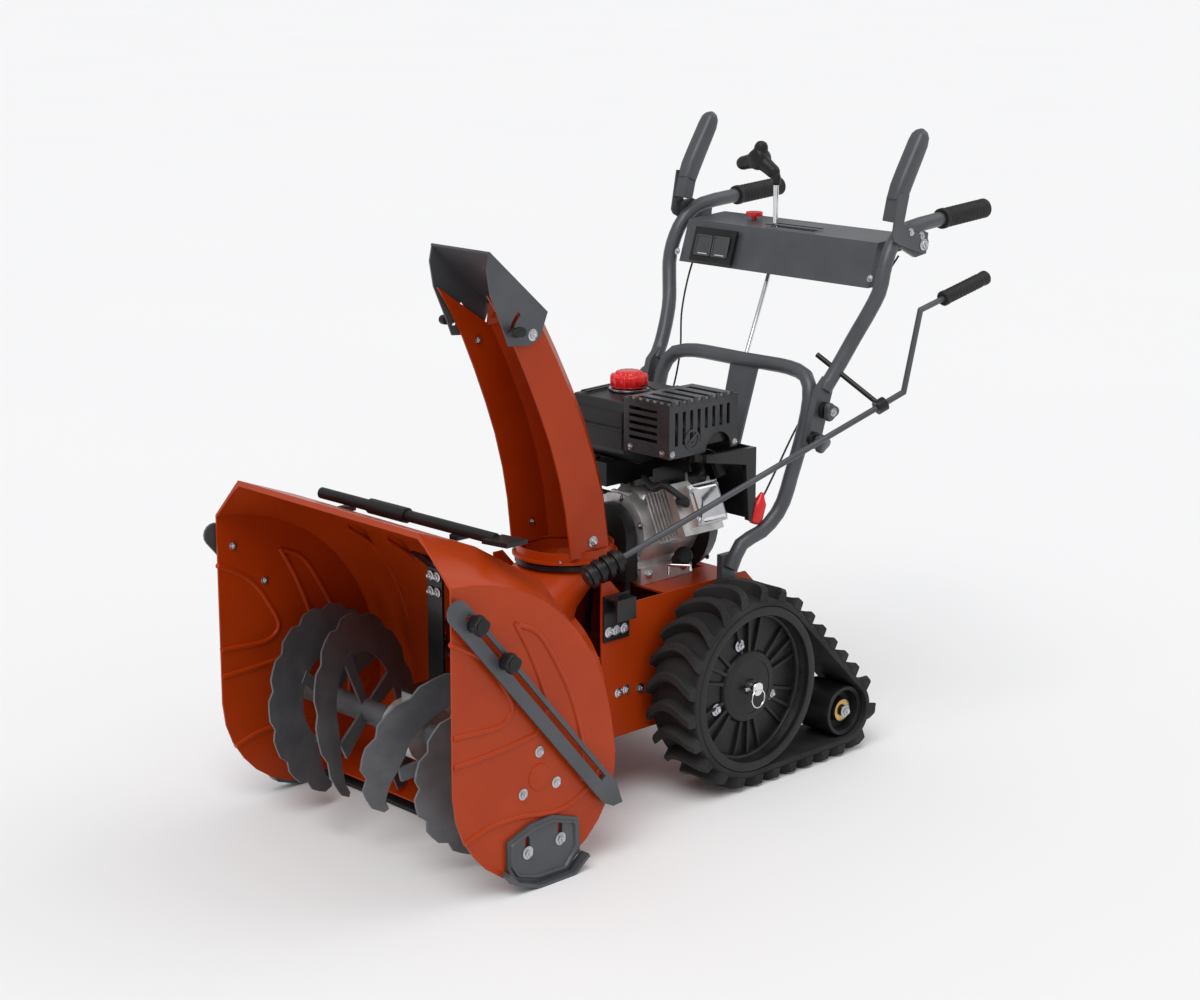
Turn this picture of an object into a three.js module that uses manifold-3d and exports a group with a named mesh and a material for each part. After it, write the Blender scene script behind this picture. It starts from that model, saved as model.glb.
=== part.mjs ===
// Two-stage snow blower on rubber tracks, as separate named pieces. Millimetres.
// +X is the operator's left, -Y is the front, +Z is up, and the tracks stand on z = 0.
// Lengths along Y are counted from the mouth of the auger housing; the last group shifts
// everything so that the origin lies under the middle of the whole machine.

import * as THREE from 'three';
import { ConvexGeometry } from 'three/addons/geometries/ConvexGeometry.js';
import { mergeVertices } from 'three/addons/utils/BufferGeometryUtils.js';
import Module from 'manifold-3d';

const wasm = await Module();
wasm.setup();

// Driving dimensions
const MIDDLE_Y = 619;            // half the overall length, from the foremost to the rearmost point
const SHEET = 3;                 // sheet-metal thickness
const GAP = 0.3;                 // clearance between touching pieces
const ROUND = 20;                // sides of a plain round solid

const HOUSING_HALF = 285;        // half the outer width of the auger housing
const HOUSING_TOP = 553;         // height of the housing's top lip
const BEVEL_HALF = 217;          // half the width of the flat top, between the two bevels
const AUGER = {
  y: 164,
  z: 166,
  radius: 148,
  lead: 35,                      // angle about the shaft where a slanted ring lies furthest outward
  rings: [
    { x: 122, swing: 84, inner: 88, from: -75, to: 224, arms: [200, 105, 15, -50] },
    { x: 215, swing: 45, inner: 70, from: 15, to: 258, arms: [40, 140, 235] },
  ],
};
const SCRAPER_Y = 205;            // where the housing's floor ends and its scraper bar begins
const CUTTER = {
  low: new THREE.Vector3(0, 302, 103),
  high: new THREE.Vector3(0, 5, 451),
  half: 19,
  slotHalf: 4.6,
  slotAside: -7,
  x0: HOUSING_HALF + 8,
  x1: HOUSING_HALF + 13,
  studs: [0.93, 0.735],
  knobEnd: HOUSING_HALF + 35,
};
const DRUM = { y0: 296, y1: 432, z: 178, radius: 150 };
const CHUTE = { y: 480, ringRadius: 86, half: 72, taper: 0.82 };

const CHASSIS = { half: 130, y0: 438, y1: 830, z0: 111, z1: 330, deck: 322 };
const CRANKSHAFT = { y0: 571.5, z: 405 };
const BELT_PLANE = { y0: 572, y1: 586 };
const PULLEY = { small: 30, large: 54, belt: 6 };

const WHEEL = { y: 683, z: 170, radius: 138 };
const IDLER = { y: 912, z: 76, radius: 44 };
const TRACK = { x0: 146, x1: 244, carcass: 12, lug: 20, lugs: 27 };

const TUBE = 12.5;               // radius of the handle tubes
const CRANK_DIR = new THREE.Vector3(0.27, 0.881, 0.388).normalize();
const CRANK_BUSH = new THREE.Vector3(281, 926, 612);

const HANDLE_KNOB = { y: 874, z: 600 };
const LEVER = { y: 1056, z: 862 };
const CAP = { x: -41, y: 664, z: 634 };

// Finishes: colour, roughness, metalness
const ORANGE = [0xb8431b, 0.35, 0.2];
const GREY = [0x4a4c50, 0.45, 0.3];
const BLACK = [0x1b1b1c, 0.5, 0.2];
const RUBBER = [0x1d1d1d, 0.85, 0];
const STEEL = [0xb9bbbd, 0.3, 0.9];
const CAST = [0x9a9a9a, 0.5, 0.7];
const RED = [0xd01f1f, 0.4, 0];

const V = (x, y, z) => new THREE.Vector3(x, y, z);

// A manifold solid from a closed three.js geometry
function solid(geometry) {
  const bare = geometry.index ? geometry.toNonIndexed() : geometry.clone();
  bare.deleteAttribute('normal');
  bare.deleteAttribute('uv');
  const merged = mergeVertices(bare, 1e-4);
  const vertProperties = new Float32Array(merged.attributes.position.array);
  const triVerts = new Uint32Array(merged.index.array);
  return new wasm.Manifold(new wasm.Mesh({ numProp: 3, vertProperties, triVerts }));
}

function union(list) {
  return list.reduce((sum, item) => sum.add(item));
}

function cut(body, list) {
  return list.reduce((rest, item) => rest.subtract(item), body);
}

function node(name, body, finish) {
  const { vertProperties, triVerts, numProp } = body.getMesh();
  const geometry = new THREE.BufferGeometry();
  const points = new Float32Array((vertProperties.length / numProp) * 3);
  for (let i = 0; i < points.length / 3; i += 1) {
    points.set(vertProperties.subarray(i * numProp, i * numProp + 3), i * 3);
  }
  geometry.setAttribute('position', new THREE.BufferAttribute(points, 3));
  geometry.setIndex(new THREE.BufferAttribute(new Uint32Array(triVerts), 1));
  const [color, roughness, metalness] = finish;
  const mesh = new THREE.Mesh(geometry, new THREE.MeshStandardMaterial({ color, roughness, metalness }));
  mesh.name = name;
  return mesh;
}

function box(x0, x1, y0, y1, z0, z1) {
  const geometry = new THREE.BoxGeometry(x1 - x0, y1 - y0, z1 - z0);
  geometry.translate((x0 + x1) / 2, (y0 + y1) / 2, (z0 + z1) / 2);
  return solid(geometry);
}

// A cylinder or cone frustum from one point to another
function rod(from, to, radius, sides = ROUND, endRadius = radius) {
  const along = to.clone().sub(from);
  const geometry = new THREE.CylinderGeometry(endRadius, radius, along.length(), sides);
  const turn = new THREE.Quaternion().setFromUnitVectors(V(0, 1, 0), along.clone().normalize());
  geometry.applyQuaternion(turn);
  geometry.translate(...from.clone().add(to).multiplyScalar(0.5).toArray());
  return solid(geometry);
}

function ball(centre, radius, sides = 12) {
  const geometry = new THREE.SphereGeometry(radius, sides, sides / 2);
  geometry.translate(centre.x, centre.y, centre.z);
  return solid(geometry);
}

// An outline extruded along one axis. axis 'x' takes [y, z] pairs, 'y' takes [x, z], 'z' takes [x, y].
function slab(axis, outline, from, to, holes = []) {
  const shape = new THREE.Shape(outline.map(([a, b]) => new THREE.Vector2(a, b)));
  shape.holes = holes.map((hole) => new THREE.Path(hole.map(([a, b]) => new THREE.Vector2(a, b))));
  const geometry = new THREE.ExtrudeGeometry(shape, { depth: to - from, bevelEnabled: false });
  if (axis === 'x') {
    geometry.applyMatrix4(new THREE.Matrix4().set(0, 0, 1, from, 1, 0, 0, 0, 0, 1, 0, 0, 0, 0, 0, 1));
  } else if (axis === 'y') {
    geometry.applyMatrix4(new THREE.Matrix4().set(1, 0, 0, 0, 0, 0, -1, to, 0, 1, 0, 0, 0, 0, 0, 1));
  } else {
    geometry.translate(0, 0, from);
  }
  return solid(geometry);
}

function arc(cy, cz, radius, startDeg, endDeg, steps) {
  return Array.from({ length: steps + 1 }, (_, i) => {
    const angle = THREE.MathUtils.degToRad(startDeg + ((endDeg - startDeg) * i) / steps);
    return [cy + radius * Math.cos(angle), cz + radius * Math.sin(angle)];
  });
}

function circle(cy, cz, radius, steps = 24) {
  return arc(cy, cz, radius, 0, 360, steps).slice(0, -1);
}

// A round tube through a list of points
function tube(points, radius, steps, sides = 12) {
  const section = new THREE.Shape(circle(0, 0, radius, sides).map(([a, b]) => new THREE.Vector2(a, b)));
  const path = new THREE.CatmullRomCurve3(points, false, 'centripetal');
  return solid(new THREE.ExtrudeGeometry(section, { steps, bevelEnabled: false, extrudePath: path }));
}

// A closed skin over a list of rings with the same number of points, capped at both ends
function loft(rings, flat = null) {
  const count = rings[0].length;
  const faces = [];
  for (let i = 0; i < rings.length - 1; i += 1) {
    for (let j = 0; j < count; j += 1) {
      const a = i * count + j;
      const b = i * count + ((j + 1) % count);
      faces.push(a, b, a + count, b, b + count, a + count);
    }
  }
  const outline = (flat ?? circle(0, 0, 1, count)).map(([u, v]) => new THREE.Vector2(u, v));
  const last = (rings.length - 1) * count;
  for (const [p, q, r] of THREE.ShapeUtils.triangulateShape(outline, [])) {
    faces.push(q, p, r, last + p, last + q, last + r);
  }
  const geometry = new THREE.BufferGeometry();
  const numbers = rings.flat().flatMap((p) => p.toArray());
  geometry.setAttribute('position', new THREE.Float32BufferAttribute(numbers, 3));
  geometry.setIndex(faces);
  let volume = 0;
  const at = (k) => new THREE.Vector3().fromBufferAttribute(geometry.attributes.position, k);
  for (let k = 0; k < faces.length; k += 3) {
    volume += at(faces[k]).dot(at(faces[k + 1]).cross(at(faces[k + 2])));
  }
  if (volume < 0) {
    geometry.setIndex(faces.map((_, k) => faces[k - (k % 3) + (2 - (k % 3))]));
  }
  return solid(geometry);
}

function mirrored(body) {
  return body.mirror([1, 0, 0]);
}

// Auger housing: a folded shell with bevelled top corners, the impeller drum and the throat up to the chute
function sideOutline(inset) {
  const upper = arc(2, 172, 313 - inset, 90, 2, 13);
  const lower = arc(AUGER.y, AUGER.z, 156 - inset, 0, -118, 9);
  const corner = [[60, 50], [37, 75], [17, 106], [5, 138]].map(([y, z]) => [y, z + inset]);
  return [...upper, ...lower, ...corner, [0, 176]];
}

function topOutline(inset) {
  return [[0, HOUSING_TOP - inset], [104, 514 - inset], [230 - inset / 2, 439 - inset], [292 - inset, 330],
    [319 - inset, 200], [0, 176]];
}

function housingHull(inset, front) {
  const points = [];
  for (const side of [-1, 1]) {
    for (const [y, z] of sideOutline(inset)) {
      points.push(V(side * (HOUSING_HALF - inset), y < 1 ? front : y, z));
    }
    for (const [y, z] of topOutline(inset)) {
      points.push(V(side * (BEVEL_HALF - inset / 2), y < 1 ? front : y, z));
    }
  }
  return solid(new ConvexGeometry(points));
}

function throatRing(y0, y1, half, z, round, inset) {
  const yc = (y0 + y1) / 2;
  const depth = (y1 - y0) / 2;
  return Array.from({ length: 24 }, (_, i) => {
    const angle = ((i + 0.5) / 24) * 2 * Math.PI;
    const c = Math.cos(angle);
    const s = Math.sin(angle);
    const square = 1 / Math.max(Math.abs(c), Math.abs(s));
    const reach = square * (1 - round) + round;
    return V((half - inset) * c * reach, yc + (depth - inset) * s * reach, z);
  });
}

function throat(inset, low, high) {
  return loft([
    throatRing(318, 428, 84, low, 0.1, inset),
    throatRing(342, 452, 80, 325, 0.3, inset),
    throatRing(380, 510, 76, 358, 0.7, inset),
    throatRing(408, 552, 72, high, 1, inset),
  ]);
}

function augerHousing() {
  const outer = housingHull(0, 0);
  const shell = outer.subtract(housingHull(SHEET, -20));
  const rim = cut(outer.intersect(box(-300, 300, -1, SHEET, 176, 560)), [
    slab('y', [[-273, 150], [273, 150], [273, 480], [212, 538], [-212, 538], [-273, 480]], -5, 8)]);
  const wall = rod(V(0, DRUM.y0, DRUM.z), V(0, DRUM.y1, DRUM.z), DRUM.radius, 36);
  const bore = rod(V(0, DRUM.y0 - 40, DRUM.z), V(0, DRUM.y1 - SHEET, DRUM.z), DRUM.radius - SHEET, 36);
  const skin = union([shell, rim, wall, throat(0, 290, 380)]);
  const shaftHole = rod(V(0, 400, DRUM.z), V(0, 460, DRUM.z), 13);
  const inside = housingHull(SHEET, -20);
  const sill = box(-HOUSING_HALF + SHEET, HOUSING_HALF - SHEET, -10, SCRAPER_Y, -5, 200);
  const folded = cut(skin, [bore, throat(SHEET, 288, 381), shaftHole, inside, sill]);
  return union([folded, driftStuds(), mirrored(driftStuds())]);
}

function scraperBar() {
  return slab('x', [[SCRAPER_Y - 6, 1], [250, 21], [252, 25], [249, 25], [SCRAPER_Y - 6, 8]], -280, 280);
}

function skidShoe() {
  const outline = [[97, 82], [142, 99], [185, 102], [238, 84], [240, 34], [214, 4], [150, 4], [107, 20],
    [97, 40]];
  const plate = slab('x', outline, HOUSING_HALF + GAP, HOUSING_HALF + 6, [
    slotOutline(135, 52, 78), slotOutline(200, 54, 84)]);
  const foot = slab('x', [[88, 34], [104, 16], [150, 0], [220, 0], [250, 22], [248, 27], [219, 5], [150, 5],
    [108, 21], [92, 38]], HOUSING_HALF + GAP, HOUSING_HALF + 18);
  return plate.add(foot);
}

function slotOutline(y, z0, z1) {
  return [...arc(y, z1, 4.5, 0, 180, 5), ...arc(y, z0, 4.5, 180, 360, 5)];
}

// A point beside the drift cutter's centre line, at a share of its length
function cutterPoint(share, aside = 0) {
  const { low, high } = CUTTER;
  const base = low.clone().lerp(high, share);
  const normal = V(0, low.z - high.z, high.y - low.y).normalize();
  return [base.y + aside * normal.y, base.z + aside * normal.z];
}

function driftCutter() {
  const { low, high, half, x0, x1, slotHalf, slotAside } = CUTTER;
  const along = Math.atan2(high.z - low.z, high.y - low.y) * THREE.MathUtils.RAD2DEG;
  const end = arc(high.y, high.z, half, along + 90, along - 90, 8);
  const tip = [[0.02, -half], [-0.055, -6], [-0.03, 10], [0.02, half]].map((at) => cutterPoint(...at));
  const slot = [[0.08, slotHalf], [0.08, -slotHalf], [0.965, -slotHalf], [0.965, slotHalf]];
  const hole = slot.map(([share, wide]) => cutterPoint(share, slotAside + wide));
  return slab('x', [...end, ...tip], x0, x1, [hole]);
}

// The two threaded studs that hold a drift cutter, each with its clamp knob
function driftStuds() {
  return union(CUTTER.studs.flatMap((share) => {
    const [y, z] = cutterPoint(share, CUTTER.slotAside);
    const stud = rod(V(HOUSING_HALF - 2, y, z), V(CUTTER.x1 + 1, y, z), 3.8, 10);
    return [stud, rod(V(CUTTER.x1 + 0.6, y, z), V(CUTTER.knobEnd, y, z), 13, 12, 11)];
  }));
}

function gearboxBrace() {
  const strap = box(-18, 18, 206, 211, 232, 424);
  const foot = slab('x', [[206, 418], [211, 418], [211, 424], [176, 449], [172, 446]], -18, 18);
  return strap.add(foot).add(box(-18, 18, 150, 208, 228, 233));
}

function augerGearbox() {
  const across = rod(V(-34, AUGER.y, AUGER.z), V(34, AUGER.y, AUGER.z), 44);
  const worm = rod(V(0, AUGER.y, DRUM.z), V(0, 288, DRUM.z), 30, ROUND, 24);
  const pad = box(-16, 16, 150, 190, 200, 227.6);
  const bore = rod(V(-40, AUGER.y, AUGER.z), V(40, AUGER.y, AUGER.z), 10.4);
  const tail = rod(V(0, 215, DRUM.z), V(0, 300, DRUM.z), 9.4);
  return cut(union([across, worm, pad]), [bore, tail]);
}

// A point in the plane of a slanted ring plate, at a radius and an angle about the auger shaft
function ringPoint(ring, radius, degrees, aside = 0) {
  const angle = THREE.MathUtils.degToRad(degrees);
  const slant = Math.cos(THREE.MathUtils.degToRad(degrees - AUGER.lead));
  const x = ring.x + ring.swing * (radius / AUGER.radius) * slant + aside;
  return V(x, AUGER.y + radius * Math.cos(angle), AUGER.z + radius * Math.sin(angle));
}

// One flight: an open slanted ring, scalloped along its outer edge and drawn out to a point at one end
function flight(ring) {
  const steps = 40;
  const rings = Array.from({ length: steps + 1 }, (_, i) => {
    const degrees = ring.from + ((ring.to - ring.from) * i) / steps;
    const outer = AUGER.radius - (i % 4 === 0 ? 8 : 0);
    const inner = ring.inner + (outer - 8 - ring.inner) * Math.max(0, (i - steps + 6) / 6) ** 1.5;
    const at = (radius, aside) => ringPoint(ring, radius, degrees, aside);
    return [at(outer, -2), at(inner, -2), at(inner, 2), at(outer, 2)];
  });
  return loft(rings);
}

// A flat arm in the plane of a flight, from the shaft tube to the flight's inner edge
function flightArm(ring, degrees) {
  const spread = [[12, 52], [ring.inner + 8, 8]];
  return loft(spread.map(([radius, turn]) => [
    ringPoint(ring, radius, degrees + turn, -3), ringPoint(ring, radius, degrees - turn, -3),
    ringPoint(ring, radius, degrees - turn, 3), ringPoint(ring, radius, degrees + turn, 3)]));
}

function augerHalf(side) {
  const tubeEnds = [40, 276];
  const along = (x) => V(x, AUGER.y, AUGER.z);
  const pieces = [rod(along(tubeEnds[0]), along(tubeEnds[1]), 19)];
  for (const ring of AUGER.rings) {
    pieces.push(flight(ring), ...ring.arms.map((degrees) => flightArm(ring, degrees)));
  }
  const bore = rod(along(tubeEnds[0] - 2), along(tubeEnds[1] + 2), 10.4);
  const body = union(pieces).subtract(bore);
  return side > 0 ? body : mirrored(body);
}

function augerShaft() {
  return rod(V(-HOUSING_HALF + 4, AUGER.y, AUGER.z), V(HOUSING_HALF - 4, AUGER.y, AUGER.z), 10);
}

// Impeller: five folded blades on a hub, on the shaft that runs from the worm to the belt pulley
function impeller() {
  const shaft = rod(V(0, 222, DRUM.z), V(0, 596, DRUM.z), 9);
  const hub = rod(V(0, 304, DRUM.z), V(0, 420, DRUM.z), 26);
  const blades = Array.from({ length: 5 }, (_, i) => {
    const blade = box(-2.5, 2.5, 314, 420, 20, 138).add(box(-2.5, 22, 416, 420, 20, 138));
    const paddle = box(-2.5, 16, 318, 420, 134, 138);
    return blade.add(paddle).rotate([0, i * 72 + 10, 0]).translate([0, 0, DRUM.z]);
  });
  const pulley = pulleyWheel(DRUM.z, PULLEY.large);
  return union([shaft, hub, pulley, ...blades]);
}

function pulleyWheel(z, radius) {
  const { y0, y1 } = BELT_PLANE;
  const middle = (y0 + y1) / 2;
  const disc = rod(V(0, y0, z), V(0, middle, z), radius, 24, radius - 4);
  return disc.add(rod(V(0, middle, z), V(0, y1, z), radius - 4, 24, radius));
}

function crankshaft() {
  const shaft = rod(V(0, CRANKSHAFT.y0, CRANKSHAFT.z), V(0, 604, CRANKSHAFT.z), 9.5);
  return shaft.add(pulleyWheel(CRANKSHAFT.z, PULLEY.small));
}

function augerBelt() {
  const top = CRANKSHAFT.z;
  const loop = (r0, r1) => {
    const tilt = Math.asin((r1 - r0) / (top - DRUM.z)) * THREE.MathUtils.RAD2DEG;
    return [...arc(0, top, r0, tilt, 180 - tilt, 14).map(([x, z]) => [x, z]),
      ...arc(0, DRUM.z, r1, 180 - tilt, 360 + tilt, 22).map(([x, z]) => [x, z])];
  };
  const middle = (BELT_PLANE.y0 + BELT_PLANE.y1) / 2;
  const { small, large, belt } = PULLEY;
  return slab('y', loop(small + belt + 0.5, large + belt + 0.5), middle - 5, middle + 5, [
    loop(small + 0.5, large + 0.5)]);
}

function chassis() {
  const { half, y0, y1, z0, z1, deck } = CHASSIS;
  const side = [[y0, z0 + 22], [y0 + 22, z0], [y1 - 40, z0], [y1, z0 + 40], [y1, z1 - 60], [y1 - 60, z1],
    [y0 + 60, z1], [y0 + 20, z1 + 44], [y0, z1 + 44]];
  const outer = slab('x', side, -half, half);
  const inner = outer.translate([0, SHEET, 0]).intersect(outer.translate([0, -SHEET, 0]));
  const hollow = inner.intersect(box(-half + SHEET, half - SHEET, y0, y1, z0 + SHEET, deck - SHEET));
  const openTop = box(-half + SHEET, half - SHEET, y0 - 1, 600, 250, 400);
  const overDeck = box(-half + SHEET, half - SHEET, 560, y1 + 1, deck, 400);
  const axle = rod(V(-half - 5, WHEEL.y, WHEEL.z), V(half + 5, WHEEL.y, WHEEL.z), 13);
  const shaft = rod(V(0, y0 - 5, DRUM.z), V(0, y0 + 8, DRUM.z), 16);
  const crankRoom = rod(V(0, 560, CRANKSHAFT.z), V(0, y1 - 70, CRANKSHAFT.z), 93);
  const shell = cut(outer, [hollow, openTop, overDeck, axle, shaft, crankRoom, throat(-GAP, 289, 381)]);
  const shiftArm = slab('x', [[778, 316], [800, 294], [834, 398], [822, 402]], -14, -10);
  return shell.add(shiftArm);
}

// Engine
function engineBlock() {
  const base = box(-78, 54, 600, 720, CHASSIS.deck + GAP, 352);
  const bulge = box(-70, 50, 596, 716, 350, 400);
  const crankcase = rod(V(0, 596, CRANKSHAFT.z), V(0, 722, CRANKSHAFT.z), 66);
  const nose = rod(V(0, 592, CRANKSHAFT.z), V(0, 598, CRANKSHAFT.z), 30);
  const bore = rod(V(0, 590, CRANKSHAFT.z), V(0, 612, CRANKSHAFT.z), 10);
  return cut(union([base, bulge, crankcase, nose]), [bore]);
}

function cylinderHead() {
  const pieces = [box(48, 128, 624, 690, -26, 26)];
  for (let i = 0; i < 6; i += 1) {
    pieces.push(box(74 + i * 8, 77 + i * 8, 612, 702, -42, 42));
  }
  pieces.push(box(122, 138, 612, 702, -44, 44), box(137, 162, 624, 692, -34, 34));
  const slanted = union(pieces).rotate([0, -24, 0]).translate([0, 0, CRANKSHAFT.z]);
  return slanted.subtract(rod(V(0, 590, CRANKSHAFT.z), V(0, 730, CRANKSHAFT.z), 66 + GAP));
}

function mufflerGuard() {
  const outer = box(36, 140, 577, 735, 552, 640);
  const pieces = [box(39, 137, 580, 732, 540, 637)];
  for (let i = 0; i < 8; i += 1) {
    pieces.push(box(130, 145, 590 + i * 17, 597 + i * 17, i > 3 ? 592 : 572, 626));
  }
  for (let i = 0; i < 5; i += 1) {
    pieces.push(box(48, 112, 570, 584, 574 + i * 12, 580 + i * 12));
    pieces.push(box(50, 126, 592 + i * 28, 604 + i * 28, 630, 645));
  }
  pieces.push(rod(V(125, 690, 552), V(150, 690, 552), 30));
  return cut(outer, pieces);
}

function muffler() {
  const body = slab('y', [[44, 560], [130, 560], [132, 590], [124, 624], [50, 624], [42, 590]], 590, 724);
  return body.add(rod(V(90, 690, 530), V(90, 690, 562), 12));
}

function fuelTank() {
  const side = [[577, 552], [577, 612], [590, 626], [735, 630], [748, 616], [748, 540], [620, 520],
    [590, 536]];
  const neck = rod(V(CAP.x, CAP.y, 622), V(CAP.x, CAP.y, CAP.z), 22);
  return slab('x', side, -96, 33).add(neck);
}

function fuelCap() {
  const teeth = Array.from({ length: 24 }, (_, i) => {
    const reach = i % 3 === 0 ? 29 : 31;
    const angle = (i / 24) * 2 * Math.PI;
    return [CAP.x + reach * Math.cos(angle), CAP.y + reach * Math.sin(angle)];
  });
  const dome = rod(V(CAP.x, CAP.y, CAP.z + 20), V(CAP.x, CAP.y, CAP.z + 26), 24, 20, 21);
  return slab('z', teeth, CAP.z + GAP, CAP.z + 21).add(dome);
}

function intakeBox() {
  const housing = box(-92, -20, 592, 700, 478, 518);
  const duct = tube([V(50, 714, 510), V(84, 716, 530), V(108, 716, 526), V(122, 716, 500)], 10, 10, 10);
  return housing.add(box(-60, 62, 704, 724, 498, 518)).add(duct).add(box(-40, -22, 690, 720, 490, 518));
}

function recoilCover() {
  const outer = rod(V(0, 722.3, CRANKSHAFT.z), V(0, 752, CRANKSHAFT.z), 92, 36, 84);
  const vents = Array.from({ length: 12 }, (_, i) => box(38, 72, 730, 760, -4, 4).rotate([0, i * 30, 0])
    .translate([0, 0, CRANKSHAFT.z]));
  return cut(outer, vents);
}

function recoilHandle() {
  const bar = tube([V(-88, 778, 470), V(-66, 782, 476), V(-44, 778, 482)], 7, 5, 8);
  return bar.add(rod(V(-66, 752.4, 476), V(-66, 782, 476), 3, 8));
}

function beltCover() {
  const outline = [[-52, 332], [52, 332], [52, 405], ...arc(0, 405, 52, 20, 160, 8), [-52, 405]];
  const outer = slab('y', outline, 568, 592);
  const inside = outline.map(([x, z]) => [x * 0.95, 405 + (z - 405) * 0.94]);
  const hollow = slab('y', inside, 570.5, 593);
  return cut(outer, [hollow, box(-49, 49, 570.5, 593, 325, 380)]);
}

function chuteRing() {
  const ring = rod(V(0, CHUTE.y, 381), V(0, CHUTE.y, 389), 82, 32);
  return ring.subtract(rod(V(0, CHUTE.y, 370), V(0, CHUTE.y, 400), 73, 32))
    .subtract(throat(-GAP, 289, 380.4));
}

// Chute: a channel open to the front, leaning forward, bolted inside a turning collar
const CHUTE_FRONT = [[428, 402], [418, 480], [407, 533], [390, 592], [370, 645], [346, 702], [321, 756],
  [296, 800], [269, 840]];
const CHUTE_DEPTH = [104, 102, 98, 94, 90, 86, 82, 80, 80];

function chuteSection(index, inset) {
  const before = CHUTE_FRONT[Math.max(index - 1, 0)];
  const after = CHUTE_FRONT[Math.min(index + 1, CHUTE_FRONT.length - 1)];
  const [y, z] = CHUTE_FRONT[index];
  const rise = V(0, after[0] - before[0], after[1] - before[1]).normalize();
  const back = V(0, rise.z, -rise.y);
  if (index === 0) {
    back.set(0, 1, 0);
  }
  const depth = CHUTE_DEPTH[index] - inset;
  const share = index / (CHUTE_FRONT.length - 1);
  const half = CHUTE.half * (1 + (CHUTE.taper - 1) * share) - inset;
  const chamfer = 22;
  const outline = [[-half, 0], [-half, depth - chamfer], [-half + chamfer, depth], [half - chamfer, depth],
    [half, depth - chamfer], [half, 0]];
  return outline.map(([x, along]) => V(x, y, z).addScaledVector(back, along));
}

function chute() {
  const skin = (inset) => CHUTE_FRONT.map((_, index) => chuteSection(index, inset));
  const outer = loft(skin(0));
  const hollow = loft(skin(SHEET).map((ring) => {
    const forward = ring[0].clone().sub(ring[1]).normalize();
    return ring.map((p, i) => (i === 0 || i === 5 ? p.clone().addScaledVector(forward, 8) : p));
  }));
  const mouth = union([hollow, hollow.translate([0, -3, 5]), hollow.translate([0, 0, -3])]);
  const lid = slab('x', [[240, 859], [240, 1000], [520, 1000], [520, 800], [386, 800], [372, 772]], -90, 90);
  const channel = cut(outer, [mouth, lid]);
  const flange = rod(V(0, CHUTE.y, 392), V(0, CHUTE.y, 396), CHUTE.ringRadius, 32);
  const collar = rod(V(0, CHUTE.y, 392), V(0, CHUTE.y, 410), 80, 32);
  const open = rod(V(0, CHUTE.y, 380), V(0, CHUTE.y, 420), 77, 32);
  const neck = rod(V(0, CHUTE.y, 380), V(0, CHUTE.y, 402), 70, 32);
  const plate = rod(V(0, CHUTE.y, 399), V(0, CHUTE.y, 402), 78, 32).subtract(hollow.translate([0, 0, -1]));
  const ring = union([flange, collar]).subtract(open);
  const body = union([ring, plate, channel.subtract(box(-100, 100, 380, 600, 380, 399))]);
  return body.subtract(neck.intersect(hollow.translate([0, 0, -8])));
}

const DEFLECTOR = { pivotY: 352, pivotZ: 772, half: 65, slotRadius: 44 };

function deflector() {
  const { pivotY, pivotZ, slotRadius } = DEFLECTOR;
  const sideView = [[268, 907], [384, 804], [368, 766], [345, 756], [304, 760], [294, 785], [269, 840],
    [262, 880]];
  const slot = [...arc(pivotY, pivotZ, slotRadius - 4, 176, 126, 6),
    ...arc(pivotY, pivotZ, slotRadius + 4, 126, 176, 6)];
  const wall = slab('x', sideView, DEFLECTOR.half, DEFLECTOR.half + SHEET, [slot]);
  const top = slab('x', [[268, 907], [384, 804], [382, 801], [266, 904]], -DEFLECTOR.half - SHEET,
    DEFLECTOR.half + SHEET);
  const stub = (side) => rod(V(side * (DEFLECTOR.half - 2), DEFLECTOR.pivotY, DEFLECTOR.pivotZ),
    V(side * (DEFLECTOR.half + 1), DEFLECTOR.pivotY, DEFLECTOR.pivotZ), 7, 12);
  return union([wall, mirrored(wall), top, stub(1), stub(-1)]);
}

// Crank: a rod with two elbows and a grip, turning a worm beside the chute collar
function crankPoint(along, offset = V(0, 0, 0)) {
  return CRANK_BUSH.clone().addScaledVector(CRANK_DIR, along).add(offset);
}

function crankRod() {
  const elbow = crankPoint(48);
  const knee = V(302, 995, 765);
  const gripStart = V(302, 1052, 777);
  const shaft = rod(crankPoint(-515), elbow, 5, 10);
  const arm = rod(elbow, knee, 5, 10);
  const handle = rod(knee, gripStart.clone().add(V(0, 5, 1)), 5, 10);
  return union([shaft, arm, handle, ball(elbow, 5.2, 10), ball(knee, 5.2, 10)]);
}

function crankGrip() {
  const start = V(302, 1052, 777);
  const end = V(302, 1168, 801.5);
  const along = end.clone().sub(start);
  const body = rod(start, end, 12.5, 16);
  return body.subtract(rod(start.clone().addScaledVector(along, -0.1),
    start.clone().addScaledVector(along, 0.08), 5.4, 12));
}

function crankWorm() {
  const start = crankPoint(-515);
  const pieces = [rod(crankPoint(-585), start.clone().addScaledVector(CRANK_DIR, -GAP), 14, 12)];
  for (let i = 0; i < 4; i += 1) {
    pieces.push(rod(crankPoint(-580 + i * 16), crankPoint(-571 + i * 16), 20, 12));
  }
  return union(pieces);
}

function crankBracket() {
  const plate = box(CHASSIS.half + GAP, CHASSIS.half + 4, 440, 496, 276, 352);
  const top = box(CHASSIS.half + GAP, CHASSIS.half + 30, 444, 486, 346, 350);
  const cheek = box(CHASSIS.half + 26, CHASSIS.half + 30, 444, 486, 314, 350);
  return union([plate, top, cheek]);
}

function crankEye() {
  const bush = rod(crankPoint(-9), crankPoint(9), 12, 16);
  const bore = rod(crankPoint(-12), crankPoint(12), 5.4, 14);
  return union([eyeRod(4.5), bush]).subtract(bore);
}

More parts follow.
